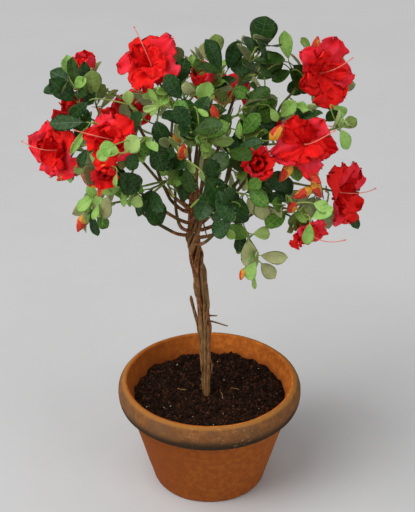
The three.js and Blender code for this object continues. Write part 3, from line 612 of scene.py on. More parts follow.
def make_soil_crumbs(rng):
    heap = Heap()
    x, y = scattered(rng, 1.0, CRUMBS)
    size = 0.45 + 1.5 * rng.random(CRUMBS) ** 2.6
    for i in range(CRUMBS):
        basis = np.linalg.qr(rng.normal(size=(3, 3)))[0]
        grow = size[i] * (0.7 + 0.6 * rng.random(3))
        lumps = CRUMB * (1 + 0.3 * (rng.random((12, 1)) - 0.5))
        place = np.array([x[i], y[i], soil_height(x[i], y[i]) + size[i] * 0.25])
        kind = 0 if noise(place * 0.22, 41) + 0.5 * rng.normal() < 0.15 else 1
        heap.add((lumps * grow) @ basis + place, CRUMB_FACES, kind)
    heap.piece("soil_crumbs", [
        plain_finish("crumb_dark", (0.075, 0.048, 0.028), (0.14, 0.085, 0.055), 500, 0.95, 0.7),
        plain_finish("crumb_red", (0.33, 0.20, 0.14), (0.22, 0.13, 0.085), 500, 0.95, 0.7)], "soil")


def make_soil_fibres(rng):
    """Thin fibres, and first a few thicker straws with raised ends."""
    heap = Heap()
    steps = np.linspace(-0.5, 0.5, 6)
    for straw in [True] * STRAWS + [False] * FIBRES:
        x, y = scattered(rng, 4)
        way, bend = rng.random() * 2 * math.pi, rng.normal() * 0.8
        length = 4 + 5 * rng.random() + (5 if straw else 0)
        angles = way + (0 if straw else bend) * steps
        x, y = x + length * steps * np.cos(angles), y + length * steps * np.sin(angles)
        rise = 1.6 * np.abs(steps) if straw else 0.5 * rng.random()
        from_stems = np.hypot(x - TRUNK["foot"][0], y - TRUNK["foot"][1])
        if from_stems.min() < STEMS_REACH or np.hypot(x, y).max() > SOIL_EDGE - 1:
            continue
        tube(heap, stacked(x, y, soil_height(x, y) + 0.7 + rise), 0.42 if straw else 0.2, 4, int(straw))
    heap.piece("soil_fibres", [
        plain_finish("fibre", (0.24, 0.13, 0.08), (0.15, 0.08, 0.05), 400, 0.9, 0.3),
        plain_finish("straw", (0.66, 0.52, 0.30), (0.48, 0.36, 0.20), 300, 0.8, 0.3)], "soil")


def make_soil_specks(rng):
    heap = Heap()
    for _ in range(SPECKS):
        x, y = scattered(rng, 5)
        grow = (0.4 + 0.5 * rng.random()) * (0.7 + 0.6 * rng.random(3))
        heap.add(CRUMB * grow + (x, y, soil_height(x, y) + 0.8), CRUMB_FACES)
    speck = plain_finish("speck", (0.80, 0.78, 0.66), (0.55, 0.52, 0.40), 300, 0.8, 0.3)
    heap.piece("soil_specks", [speck], "soil")


# ---- Trunk and boughs --------------------------------------------------------------------

MAINS = STEMS[:3]
TRUNK_RISE = TRUNK["fork"] - SOIL["level"]


def trunk_axis(t):
    t = np.asarray(t, float)
    return np.stack([
        TRUNK["foot"][0] + TRUNK["lean"] * t + TRUNK["bow"] * np.sin(math.pi * t ** TRUNK["bow_rise"]) ** 2,
        TRUNK["foot"][1] + TRUNK["sway"] * np.sin(math.pi * t),
        SOIL["level"] + CLEARANCE + TRUNK_RISE * t], -1)


def stem_radius(stem, t):
    share = (t - stem["start"]) / (stem["end"] - stem["start"])
    low = stem["foot"] + (stem["middle"] - stem["foot"]) * smooth(0, 0.5, share)
    high = stem["middle"] + (stem["top"] - stem["middle"]) * smooth(0.5, 1, share)
    return np.where(share < 0.5, low, high)


def stem_centre(stem, t):
    t = np.asarray(t, float)
    out = TRUNK["rope"] + TRUNK["rope_growth"] * smooth(0, 0.35, t) + TRUNK["opening"] * smooth(0.78, 1, t)
    if "flare" in stem:
        widest = np.max([stem_radius(s, t) for s in MAINS], axis=0)
        reach = widest + stem_radius(stem, t) + CLEARANCE + 0.1
        half = out / 2
        out = np.maximum(half + np.sqrt(np.maximum(reach ** 2 - 3 * half ** 2, 0)), out)
        out = out + stem["flare"] * smooth(0.6, 1, (t - stem["start"]) / (stem["end"] - stem["start"]))
    turns = TRUNK["twist"][0] * t + TRUNK["twist"][1] * smooth(TRUNK["twist_from"], TRUNK["twist_to"], t)
    return trunk_axis(t) + polar(out, math.radians(stem["angle"]) + 2 * math.pi * turns, 0)


def leader_of(mass):
    """The tip of a mass's leader, its way out from the hub and where it starts."""
    tip = np.array(mass[4][0][0], float)
    out = tip - HUB
    reach = np.linalg.norm(out)
    out = out / reach
    return tip, out, tip - out * min(SPRAY["leader"], reach * 0.5)


def stem_limbs():
    limbs = []
    for stem in STEMS:
        steps = round(22 * (stem["end"] - stem["start"]))
        ts = stem["start"] + (stem["end"] - stem["start"]) * np.arange(steps + 1) / steps
        limbs.append(dict(name=stem["name"], mass=None, centres=stem_centre(stem, ts),
                          radii=stem_radius(stem, ts)))
    return limbs


def flattened(v):
    return unit([v[0], v[1], 0])


def bough_radii(ts):
    return BOUGH["base"] + (BOUGH["tip"] - BOUGH["base"]) * ts


def bough_limbs():
    """A bough for every mass, the steepest first, each from the main stem nearest its way out."""
    used = [0] * len(MAINS)
    limbs = []
    for mass in sorted(MASSES, key=lambda m: -leader_of(m)[1][2]):
        _, out, start = leader_of(mass)
        flat = flattened(out)
        side = [flattened(stem_centre(stem, 1) - trunk_axis(1)).dot(flat) - 0.12 * taken
                for stem, taken in zip(MAINS, used)]
        k = side.index(max(side))
        level = used[k]
        used[k] += 1
        t = 1 - level * BOUGH["level_drop"] / TRUNK_RISE
        root = stem_centre(MAINS[k], t)
        grain = unit(root - stem_centre(MAINS[k], t - 0.03))
        lead = unit((grain if level == 0 else flat + UP * 0.45) + out * 0.2)
        away = lead if level == 0 else square_to(grain, flat)
        slant = math.sqrt(max(0, 1 - away.dot(lead) ** 2))
        skin = 0 if level == 0 else float(stem_radius(MAINS[k], t))
        base = root + away * (skin + CLEARANCE + BOUGH["base"] * (slant + 0.1))
        curve = (base, base + lead * np.linalg.norm(start - base) * BOUGH["lift"], start)
        ts = np.arange(BOUGH["steps"] + 1) / BOUGH["steps"]
        limbs.append(dict(name="bough_" + mass[0], mass=mass[0], root=root, curve=curve,
                          centres=bezier(*curve, ts), radii=bough_radii(ts)))
    return limbs


# ---- Growth, as in the source ------------------------------------------------------------


class Segments:
    """The straight lengths of some limbs, to measure from."""

    def __init__(self, limbs):
        self.a = np.concatenate([l["centres"][:-1] for l in limbs])
        self.ab = np.concatenate([np.diff(l["centres"], axis=0) for l in limbs])
        self.r = np.concatenate([l["radii"][:-1] for l in limbs])
        self.dr = np.concatenate([np.diff(l["radii"]) for l in limbs])
        self.ll = (self.ab ** 2).sum(-1)

    def clear(self, points, margin):
        away = np.asarray(points)[:, None] - self.a[None]
        t = np.clip((away * self.ab).sum(-1) / self.ll, 0, 1)
        gap = np.linalg.norm(away - self.ab * t[..., None], axis=-1) - (self.r + self.dr * t)
        return bool((gap > margin).all())


def cell_centre(mass):
    start = leader_of(mass)[2]
    middle = np.mean([np.array(tip[0], float) for tip in mass[4]], axis=0)
    return middle + (start - middle) * 0.35


CELL_CENTRES = np.array([cell_centre(m) for m in MASSES])
CELL_SIZES = np.array([m[1] for m in MASSES], float)


def inside_cell(name, points):
    own = MASS_NAMES.index(name)
    power = ((np.asarray(points)[:, None] - CELL_CENTRES) ** 2).sum(-1) - CELL_SIZES ** 2
    margin = 2 * CELL_MARGIN * np.linalg.norm(CELL_CENTRES - CELL_CENTRES[own], axis=1)
    free = power - power[:, own:own + 1] > margin
    free[:, own] = True
    return bool(free.all())


SAMPLE_ROWS = np.array([0.15, 0.35, 0.55, 0.75, 0.95])[:, None]
SAMPLE_SIDES = np.array([-1, -0.5, 0, 0.5, 1]) * np.sin(math.pi * (SAMPLE_ROWS * 0.92) ** 1.1)


def on_leaf(leaf, s, w, lift=0.0):
    """Points of a leaf at shares of its length and of half its width, lifted off its face."""
    length, width, droop = leaf["size"]
    side = unit(np.cross(leaf["along"], leaf["face"]))
    s, w, up = (v[..., None] for v in np.broadcast_arrays(s, w, lift - droop * length * s * s))
    points = leaf["root"] + leaf["along"] * (s * length) + side * (w * width / 2) + leaf["face"] * up
    return points.reshape(-1, 3)


def leaf_corners(leaf):
    return on_leaf(leaf, np.array([0.42, 0.42, 0.76, 0.76, 1]), np.array([-0.82, 0.82, -0.86, 0.86, 0]),
                   np.array([LEAF_LIFT, LEAF_LIFT, LEAF_LIFT, LEAF_LIFT, 0]))


def twig_centres(node, end, faces):
    span = np.linalg.norm(end - node)
    elbow = (node + end) / 2
    elbow = elbow + (end - faces * span * 0.5 - elbow) * 0.5
    ts = np.arange(TWIG["steps"] + 1) / TWIG["steps"]
    return bezier(node, elbow, end, ts), elbow


def twig_at(centres, t):
    step = min(TWIG["steps"] - 1, math.floor(t * TWIG["steps"]))
    way = centres[step + 1] - centres[step]
    return centres[step] + way * (t * TWIG["steps"] - step), unit(way)


def outside_flower(points, flower):
    if flower["kind"] != "bloom":
        return True
    away = points - flower["base"]
    along = away @ flower["faces"]
    radial = np.linalg.norm(away - along[:, None] * flower["faces"], axis=1)
    return bool(((along < BLOOM_SPAN[0]) | (along > BLOOM_SPAN[1]) | (radial > BLOOM_RADIUS)).all())


def out_of_box(points, box):
    return bool(((points < box[0]) | (points > box[1])).any())


def grow_leaf(grown, random, spot, angle, tilt, age, gap=LEAF_GAP, limb_gap=LIMB_GAP, turns=LEAF_TURNS,
              box=None):
    """A leaf at a spot, turned until it fits, or None."""
    root, way = spot
    grow = 0.85 + 0.3 * random()
    lean = tilt + 14 * (random() - 0.5)
    length, width, droop = LEAVES[age]
    for turn in turns:
        along = tilted(way, lean, angle + turn)
        leaf = dict(root=root, along=along, face=square_to(along, way + UP * 0.5), age=age,
                    size=(length * grow, width * grow, droop))
        corners = leaf_corners(leaf)
        if not inside_cell(grown["name"], corners) or (box is not None and out_of_box(corners, box)):
            continue
        samples = on_leaf(leaf, SAMPLE_ROWS, SAMPLE_SIDES)
        outer = samples[5:]
        near = [np.linalg.norm(outer[:, None] - old[None], axis=-1).min() <= gap for old in grown["samples"]]
        if any(near) or not grown["others"].clear(samples, limb_gap):
            continue
        if all(outside_flower(samples, f) for f in grown["flowers"]):
            grown["leaves"].append(leaf)
            grown["samples"].append(outer)
            return leaf
    return None


def flower_reach(flower):
    size = FLOWERS[flower["kind"]]
    base, faces = flower["base"], flower["faces"]
    ring = [base + faces * size["along"] + tilted(faces, 90, flower["turn"] + angle) * size["out"]
            for angle in range(0, 360, 36)]
    return ring + [base + faces * size["end"]]


def grow_mass(mass, seed, limbs):
    """The source's rule: its leader, its twigs and what they carry."""
    name, _, turn0, more, tips = mass
    random = random_from(seed)
    out = leader_of(mass)[1]
    others = Segments([l for l in limbs if l["mass"] != name])
    before, last = next(l for l in limbs if l["mass"] == name)["centres"][-2:]
    grain = unit(last - before)
    grown = dict(name=name, twigs=[], leaves=[], flowers=[], samples=[], others=others, start=last)
    leader = None

    def grow_spray(tip, carries, faces, start):
        nonlocal leader
        flower = FLOWERS.get(carries)
        end = tip - faces * (flower["depth"] if flower else 0)
        if leader is not None:
            node = twig_at(leader, start)[0]
        else:
            way = twig_at(twig_centres(last, end, faces)[0], 0)[1]
            node = last + grain * (CLEARANCE + TWIG["base"] * np.linalg.norm(np.cross(grain, way)))
        centres, elbow = twig_centres(node, end, faces)
        path = [twig_at(centres, t)[0] for t in (0.2, 0.4, 0.6, 0.8, 1)]
        head = dict(kind=carries, base=end, faces=faces, turn=72 * random()) if flower else None
        reach = flower_reach(head) if head else [tip]
        fits = inside_cell(name, path + reach) and others.clear(path + reach, TWIG_GAP)
        if leader is not None and not fits:
            return False
        if leader is None:
            leader = centres
        grown["twigs"].append(dict(centres=centres, curve=(node, elbow, end), carries=carries))
        if head:
            grown["flowers"].append(head)
        return True

    for at, carries, faces in tips:
        grow_spray(np.array(at, float), carries, out if faces is None else unit(faces), 0.3)
    kept = 0
    for k in range(SPRAY["tries"]):
        if kept >= len(more):
            break
        start = 0.1 + 0.45 * random()
        tilt = SPRAY["spread"] + 24 * (random() - 0.5)
        length = SPRAY["length"] * (0.8 + 0.35 * random())
        way = tilted(out, tilt, turn0 + GOLDEN_ANGLE * k)
        tip = twig_at(leader, start)[0] + way * length
        if grow_spray(tip, more[kept], unit(way + UP * 0.3), start):
            kept += 1

    for twig in grown["twigs"]:
        spin = 360 * random()
        (age, count), (side_age, side_count), tilt = SPRAYS[twig["carries"]]
        length = np.linalg.norm(twig["curve"][2] - twig["curve"][0])
        places = [(max(WHORL["lowest"], 1 - (WHORL["below"] + WHORL["step"] * n) / length),
                   spin + (360 / count) * n, tilt, age) for n in range(count)]
        places += [(SIDE["share"] - SIDE["step"] * n, spin + SIDE["turn"] + GOLDEN_ANGLE * n, SIDE["tilt"],
                    side_age) for n in range(side_count)]
        for share, angle, lean, its_age in places:
            leaf = grow_leaf(grown, random, twig_at(twig["centres"], share), angle, lean, its_age)
            if leaf:
                leaf["on"] = (twig["curve"], share)
    return grown


# ---- Finer growth, within the same reach -------------------------------------------------

FINE = dict(tries=5, clear=2.2, length=(9, 17), spread=56, reach=2.0, tilt=52, step=0.16)
FINE_LEAF = dict(gap=2.2, limb_gap=1.6, turns=(0, 40, -40))
FINE_AGES = ("dark", "young", "middle", "young", "middle")
HEART, HEART_REACH = np.array([0.0, 0.0, 446.0]), np.array([104.0, 110.0, 50.0])  # where the crown is dense


def grow_finer(grown, seed):
    """Side shoots on every twig, each with a few leaves more, inside the mass's own box."""
    random = random_from(seed)
    low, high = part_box("mass_" + grown["name"])
    box = (np.array(low) / MM - FINE["reach"], np.array(high) / MM + FINE["reach"])
    grown["shoots"] = []
    for twig in grown["twigs"]:
        spin = 360 * random()
        for n in range(FINE["tries"]):
            at, way = curve_at(twig["curve"], 0.2 + 0.65 * random())
            length = FINE["length"][0] + (FINE["length"][1] - FINE["length"][0]) * random()
            heading = tilted(way, FINE["spread"] + 24 * (random() - 0.5), spin + GOLDEN_ANGLE * n)
            end = at + heading * length
            path = bezier(at, at + heading * length * 0.55, end, np.array([0.4, 0.7, 1.0]))
            fits = (np.linalg.norm((end - HEART) / HEART_REACH) <= 1 and inside_cell(grown["name"], path)
                    and grown["others"].clear(path, FINE["clear"]) and not out_of_box(path, box)
                    and all(outside_flower(path, f) for f in grown["flowers"]))
            if not fits:
                continue
            curve = (at, at + heading * length * 0.5 - unit(heading + UP * 0.35) * length * 0.1, end)
            age = FINE_AGES[int(5 * random())]
            whorl = 4 if age == "young" else 3
            leaves = [grow_leaf(grown, random, curve_at(curve, 1 - FINE["step"] * m),
                                spin + 50 * n + 360 / whorl * m, FINE["tilt"], age, box=box, **FINE_LEAF)
                      for m in range(whorl)]
            if any(leaves):
                grown["shoots"].append(curve)


# ---- Leaves set by the photograph --------------------------------------------------------

# The crown's plainest leaves: the pixels of root and tip, the depth in millimetres (front is
# negative), the width in millimetres, the age and the tone. A leaf told "under" shows its back.
PLACED = [
    ((258, 55), (266, 18), 24, 27, "dark", 0), ((260, 48), (280, 75), 12, 23, "dark", 2),
    ((227, 71), (239, 43), 20, 18, "dark", 1), ((260, 64), (232, 69), 24, 19, "dark", 1),
    ((218, 58), (215, 35), 16, 15, "middle", 1), ((210, 64), (203, 43), 14, 13, "under", 1),
    ((193, 70), (192, 55), 12, 9, "young", 0), ((201, 78), (198, 60), 8, 12, "middle", 0),
    ((201, 106), (206, 83), -38, 17, "young", 0), ((197, 92), (181, 87), -30, 12, "under", 1),
    ((180, 85), (184, 59), 0, 17, "dark", 0), ((183, 101), (165, 77), -28, 17, "dark", 1),
    ((195, 123), (183, 100), -36, 15, "dark", 0), ((188, 123), (187, 141), -60, 16, "dark", 1),
    ((201, 124), (214, 111), -50, 14, "dark", 2), ((206, 137), (227, 122), -70, 15, "middle", 0),
    ((232, 137), (257, 118), -30, 20, "dark", 0), ((217, 141), (245, 150), -50, 21, "dark", 1),
    ((262, 95), (269, 124), -40, 19, "middle", 2), ((255, 98), (235, 89), -20, 14, "middle", 2),
    ((279, 118), (295, 103), -40, 14, "young", 2), ((270, 107), (278, 121), -52, 9, "young", 0),
    ((261, 131), (244, 140), -52, 14, "middle", 1), ((206, 176), (226, 153), -84, 20, "dark", 2),
    ((185, 164), (190, 193), -70, 14, "dark", 2), ((204, 174), (226, 204), -92, 24, "dark", 0),
    ((243, 196), (234, 223), -84, 26, "dark", 0), ((224, 214), (211, 219), -70, 11, "dark", 1),
    ((233, 221), (212, 233), -103, 19, "dark", 1), ((242, 223), (239, 253), -74, 12, "dark", 0),
    ((251, 234), (270, 234), -84, 14, "young", 1), ((248, 237), (250, 266), -86, 17, "under", 2),
    ((258, 255), (286, 260), -84, 14, "under", 1), ((260, 262), (274, 277), -80, 13, "under", 2),
    ((257, 260), (246, 279), -90, 13, "young", 0), ((254, 274), (254, 290), -86, 5, "young", 1),
    ((244, 194), (271, 179), -64, 23, "dark", 0), ((292, 194), (272, 175), -62, 21, "dark", 1),
    ((294, 200), (262, 197), -70, 11, "dark", 1), ((247, 196), (256, 214), -74, 12, "under", 2),
    ((260, 198), (263, 219), -76, 16, "under", 1), ((283, 206), (267, 225), -76, 16, "under", 2),
    ((77, 102), (51, 80), -16, 19, "dark", 0), ((87, 122), (49, 123), -40, 17, "dark", 0),
    ((90, 100), (69, 119), -30, 15, "dark", 1), ((69, 76), (67, 57), 4, 13, "young", 0),
    ((74, 88), (84, 78), -8, 12, "young", 2), ((95, 98), (90, 72), -10, 19, "middle", 1),
    ((96, 101), (104, 86), 0, 14, "middle", 1), ((90, 123), (70, 154), -66, 8, "young", 2),
    ((121, 153), (100, 148), -98, 17, "young", 2), ((124, 152), (138, 140), -94, 17, "young", 1),
    ((136, 150), (129, 170), -92, 13, "dark", 1), ((118, 171), (139, 191), -80, 23, "dark", 0),
    ((153, 139), (164, 171), -72, 20, "dark", 0), ((153, 154), (138, 148), -66, 15, "middle", 2),
    ((142, 198), (165, 221), -66, 24, "dark", 0), ((181, 166), (187, 201), -64, 14, "dark", 0),
    ((104, 186), (130, 195), -70, 14, "young", 2), ((139, 194), (135, 207), -74, 13, "young", 1),
    ((117, 172), (114, 187), -106, 5, "young", 0), ((93, 198), (77, 209), -64, 12, "young", 2),
    ((94, 196), (100, 204), -70, 10, "young", 0), ((109, 194), (102, 216), -62, 15, "under", 0),
    ((96, 217), (108, 227), -60, 13, "middle", 2), ((90, 208), (96, 238), -58, 9, "dark", 1),
    ((289, 62), (284, 32), 30, 13, "young", 2), ((311, 48), (301, 39), 44, 8, "young", 0),
    ((290, 63), (319, 84), 20, 20, "dark", 0), ((293, 70), (272, 80), 6, 15, "dark", 2),
    ((310, 110), (297, 106), -36, 12, "young", 2), ((314, 110), (322, 92), 10, 15, "under", 1),
    ((332, 105), (346, 115), -26, 12, "young", 0), ((325, 122), (337, 111), -30, 12, "dark", 0),
    ((341, 128), (357, 119), -44, 13, "middle", 1), ((340, 128), (349, 149), -50, 13, "young", 0),
    ((269, 173), (293, 193), -50, 20, "dark", 0), ((304, 207), (296, 231), -76, 19, "middle", 1),
    ((312, 203), (329, 208), -96, 13, "young", 0), ((310, 219), (333, 209), -100, 13, "young", 0),
    ((310, 221), (307, 245), -108, 12, "young", 2), ((160, 104), (148, 90), -44, 6, "young", 2),
    ((159, 106), (142, 111), -46, 7, "young", 1), ((196, 108), (208, 116), -64, 6, "young", 0),
    ((130, 106), (127, 92), -34, 12, "young", 1), ((287, 66), (312, 91), 18, 24, "dark", 2),
    ((314, 81), (287, 91), 26, 16, "dark", 0), ((91, 164), (74, 172), -50, 11, "middle", 1),
    ((88, 148), (77, 166), -50, 10, "dark", 1), ((113, 146), (98, 160), -100, 12, "young", 0),
    ((270, 132), (262, 146), -50, 10, "dark", 1), ((350, 208), (357, 230), 6, 10, "dark", 1),
]
# Bare stems that hang or reach out to some of them.
PLACED_STEMS = [((240, 205), (249, 236), -82), ((249, 236), (258, 262), -84), ((288, 196), (311, 220), -84),
                ((93, 196), (97, 218), -62), ((182, 115), (160, 104), -46), ((197, 143), (196, 108), -66),
                ((206, 152), (203, 124), -66), ((142, 117), (130, 105), -36), ((176, 190), (164, 177), -56),
                ((230, 186), (242, 195), -84), ((245, 194), (285, 205), -80), ((227, 122), (247, 102), -6),
                ((264, 95), (262, 68), -10)]
# Buds in the same way: root, tip, depth.
PLACED_BUDS = [((271, 139), (283, 126), -72), ((291, 164), (281, 180), -73), ((311, 189), (295, 197), -76),
               ((313, 181), (320, 196), -72), ((216, 120), (213, 107), -58), ((98, 186), (83, 176), -66),
               ((103, 184), (99, 195), -78), ((245, 268), (241, 278), -84)]
# Where it shows sky, bare stems or the face of a flower: a pixel and a radius in pixels.
OPEN = [
    ((150, 212), 10), ((72, 213), 8), ((208, 237), 10), ((214, 210), 9), ((231, 164), 10), ((232, 108), 11),
    ((237, 121), 8), ((150, 164), 10), ((146, 187), 8), ((146, 131), 9), ((126, 69), 9), ((136, 91), 7),
    ((109, 67), 12), ((113, 92), 6), ((52, 78), 7), ((242, 28), 9), ((238, 45), 9), ((333, 155), 9),
    ((200, 206), 9), ((183, 214), 10), ((232, 172), 8), ((325, 175), 8), ((193, 222), 9), ((168, 203), 10),
    ((257, 162), 13), ((104, 178), 10), ((313, 82), 9), ((59, 63), 6), ((197, 77), 5), ((260, 179), 5),
    ((204, 191), 7), ((181, 153), 3),
]
STALK_REACH = 44  # the furthest that a placed leaf may stand from the twig that carries it


def from_pixel(pixel, depth):
    """The point at a depth that the camera sees at a pixel of the photograph."""
    right, down = (np.array(pixel) - PHOTO / 2) / FOCAL
    ray = AHEAD + AXIS_X * right - OVERHEAD * down
    return EYE + ray * (depth - EYE[1]) / ray[1]


def left_open(leaf):
    """True where the middle of a leaf would stand in one of the open places."""
    away = leaf["root"] + leaf["along"] * leaf["size"][0] * 0.5 - EYE
    at = PHOTO / 2 + FOCAL * np.array([away[0], -(away @ OVERHEAD)]) / (away @ AHEAD)
    return any(np.hypot(*(at - middle)) < radius for middle, radius in OPEN)


def clear_of_blooms(points, grown):
    return np.array([all(outside_flower(p[None], f) for f in grown["flowers"]) for p in points])


def root_and_way(low, high, low_depth, high_depth):
    """Where something placed starts, its direction and its length."""
    root, tip = from_pixel(low, low_depth), from_pixel(high, high_depth)
    return root, unit(tip - root), np.linalg.norm(tip - root)


def place_leaves(masses):
    """Each placed leaf or bud on a stalk from the nearest point of a twig, a shoot or a stem."""
    rng = np.random.default_rng(31)
    spots = []
    for grown in masses:
        for curve in [twig["curve"] for twig in grown["twigs"]] + grown["shoots"]:
            points = bezier(*curve, np.linspace(0.1, 0.95, 10))
            spots.extend(points[clear_of_blooms(points, grown)])
    leaves, stalks, buds = [], [], []

    def join(root, along):
        away = np.linalg.norm(np.array(spots) - (root - along * 7), axis=1)
        if away.min() > STALK_REACH:
            return False
        elbow = root - along * min(away.min() * 0.4, 8)
        stalks.append((spots[int(np.argmin(away))], elbow, root + along * 0.6))
        return True

    for low, high, depth in PLACED_STEMS:
        root, tip = from_pixel(low, depth), from_pixel(high, depth - 2)
        join(root, unit(tip - root))
        curve = (root, (root + tip) / 2 + (tip - root)[[2, 1, 0]] * (0.12, 0, -0.12), tip)
        stalks.append(curve)
        spots.extend(bezier(*curve, np.linspace(0, 1, 8)))
    for low, high, depth, width, age, tone in PLACED:
        lean = 14 * (rng.random() - 0.5)
        root, along, length = root_and_way(low, high, depth - lean / 2, depth + lean / 2)
        face = unit(np.cross(-AHEAD, along)) * 0.7 * (rng.random() - 0.5) - AHEAD + UP * 0.2
        face = square_to(along, face) * (-1 if age == "under" else 1)
        if join(root, along):
            leaves.append(dict(root=root, along=along, face=face, age="middle" if age == "under" else age,
                               tone=tone, size=(length * 1.03, width * 1.06, 0.10)))
    for low, high, depth in PLACED_BUDS:
        root, along, length = root_and_way(low, high, depth, depth - 3)
        if join(root, along):
            turn = 360 * rng.random()
            buds.append(dict(kind="bud", base=root + along * 2, faces=along, turn=turn, size=length / 18))
    return leaves, stalks, buds


# ---- Leaves ------------------------------------------------------------------------------

VEINS = np.arange(5) * 0.15 + 0.17  # shares of the length where the side veins leave the midrib
VEIN_WIDTH = 0.016
LEAF_ENDS = (0, 0.05, 0.1, 0.91, 0.96, 1.0)  # the rows before the first vein and after the last
LEAF_ROWS = np.sort(np.concatenate([LEAF_ENDS, VEINS, VEINS + VEIN_WIDTH, VEINS + 0.083]))
LEAF_PLACES = np.array([-1, -0.76, -0.42, -0.08, 0.08, 0.42, 0.76, 1.0])
LEAF_STALK = 0.09  # share of the length
GROWN_SHAPES = dict(dark=(1.06, 0.77), middle=(1, 0.84), young=(1, 0.84))  # length, width beside the source's


def sheet_quads(rows, columns):
    """Faces of an upper and a lower grid that share their border."""
    upper = np.arange(rows * columns).reshape(rows, columns)
    lower = upper.copy()
    lower[1:-1, 1:-1] = rows * columns + np.arange((rows - 2) * (columns - 2)).reshape(rows - 2, columns - 2)
    top, under = (np.stack([g[:-1, :-1], g[:-1, 1:], g[1:, 1:], g[1:, :-1]], -1) for g in (upper, lower))
    return top, under[..., ::-1].reshape(-1, 4)


def leaf_faces():
    """Faces of the upper side, of its veins and of the under side."""
    top, under = sheet_quads(len(LEAF_ROWS), len(LEAF_PLACES))
    vein = np.zeros(top.shape[:2], bool)
    vein[:, (len(LEAF_PLACES) - 1) // 2] = True
    vein[np.searchsorted(LEAF_ROWS, VEINS), 1:-1] = True
    return [top[~vein], top[vein], under]


LEAF_FACES = leaf_faces()


def leaf_blade(leaf, rng):
    """The blade: stalk, broad outline, hollow or domed across, bent along, pleated by its veins."""
    length, width, droop = leaf["size"]
    longer, slim = (1, 1) if "tone" in leaf else GROWN_SHAPES[leaf["age"]]
    length = length * longer
    root = curve_at(*leaf["on"])[0] if "on" in leaf else leaf["root"]
    along, face = leaf["along"], leaf["face"]
    side = unit(np.cross(along, face))
    s, w = LEAF_ROWS[:, None], LEAF_PLACES[None]
    off = np.abs(w)
    blade = np.clip((s - LEAF_STALK) / (1 - LEAF_STALK), 0, 1)
    arch = np.sin(math.pi * blade)
    half = blade ** (0.76 + 0.24 * rng.random()) * (1 - blade) ** (0.8 + 0.22 * rng.random())
    half = half * (width / 2) * slim * (0.96 + 0.12 * rng.random()) / half.max()
    half = np.maximum(half, np.where(s < LEAF_STALK + 0.01, 0.55, 0.2))
    rib = np.minimum(0.42 / np.maximum(half, 0.6), 0.3)
    y = np.where(off < 0.1, np.sign(w) * rib, w) * half
    # Side veins run forward from the midrib, each in a shallow groove.
    x = (s + 0.12 * off * arch) * length
    pleat = -np.cos(2 * math.pi * (s - VEINS[0]) / (VEINS[1] - VEINS[0]))
    z = -droop * length * s ** 2 * (0.8 + 0.5 * rng.random())
    z = z + 0.2 * pleat * np.sin(math.pi * off) * arch
    hollow = (0.16 if leaf["age"] == "young" else 0.03) + 0.16 * (rng.random() - 0.45)
    z = z + hollow * half * off ** 1.5 * 1.2
    wave = (0.5 + 0.5 * rng.random()) * np.sin(s * (7 + 3 * rng.random()) + 6 * rng.random())
    z = z + wave * off ** 2 * blade - 0.25 * (off < 0.1)
    twist = (rng.random() - 0.5) * 0.5 * s
    y, z = y * np.cos(twist), z + y * np.sin(twist)
    bend = (rng.random() - 0.5) * 0.16 * length * s ** 2
    points = root + along * x[..., None] + side * (y + bend)[..., None] + face * z[..., None]
    thick = 0.16 + 0.16 * (1 - off[:, 1:-1] ** 2) + 0.25 * (off[:, 1:-1] < 0.1)
    under = points[1:-1, 1:-1] - face * (thick + 0 * s[1:-1])[..., None]
    return np.concatenate([points.reshape(-1, 3), under.reshape(-1, 3)])


# ---- Flowers -----------------------------------------------------------------------------


class Sheet:
    """A thin closed petal over an upper and a lower grid that share their border."""

    def __init__(self, rows, columns):
        self.rows, self.columns = rows, columns
        top, under = sheet_quads(rows, columns)
        self.faces = np.concatenate([top.reshape(-1, 4), under])

    def close(self, points, thick):
        """Adds the lower grid below the inner points, along the surface's own normals."""
        normal = np.cross(np.gradient(points, axis=0), np.gradient(points, axis=1))
        normal /= np.maximum(np.linalg.norm(normal, axis=-1), 1e-9)[..., None]
        under = points[1:-1, 1:-1] + normal[1:-1, 1:-1] * thick
        return np.concatenate([points.reshape(-1, 3), under.reshape(-1, 3)])


BLOOM_SIZES = dict(left_front=0.86, top_right=1.07, far_right=1.1, low_right=0.64)  # beside the others
BLOOM_TURNED = dict(low_right=unit((0.42, -0.78, -0.36)))  # one bloom has tipped over on its stalk
PETAL = Sheet(25, 15)
SEPAL = Sheet(6, 5)


def about_flower(flower, radius, angle, along):
    """Points round a flower's own axis."""
    angle = angle + math.radians(flower["turn"])
    e1, e2 = tilted(flower["faces"], 90, 0), tilted(flower["faces"], 90, 90)
    radius, angle, along = (v[..., None] for v in np.broadcast_arrays(radius, angle, along))
    return (flower["base"] + flower["faces"] * along + e1 * (radius * np.cos(angle))
            + e2 * (radius * np.sin(angle)))


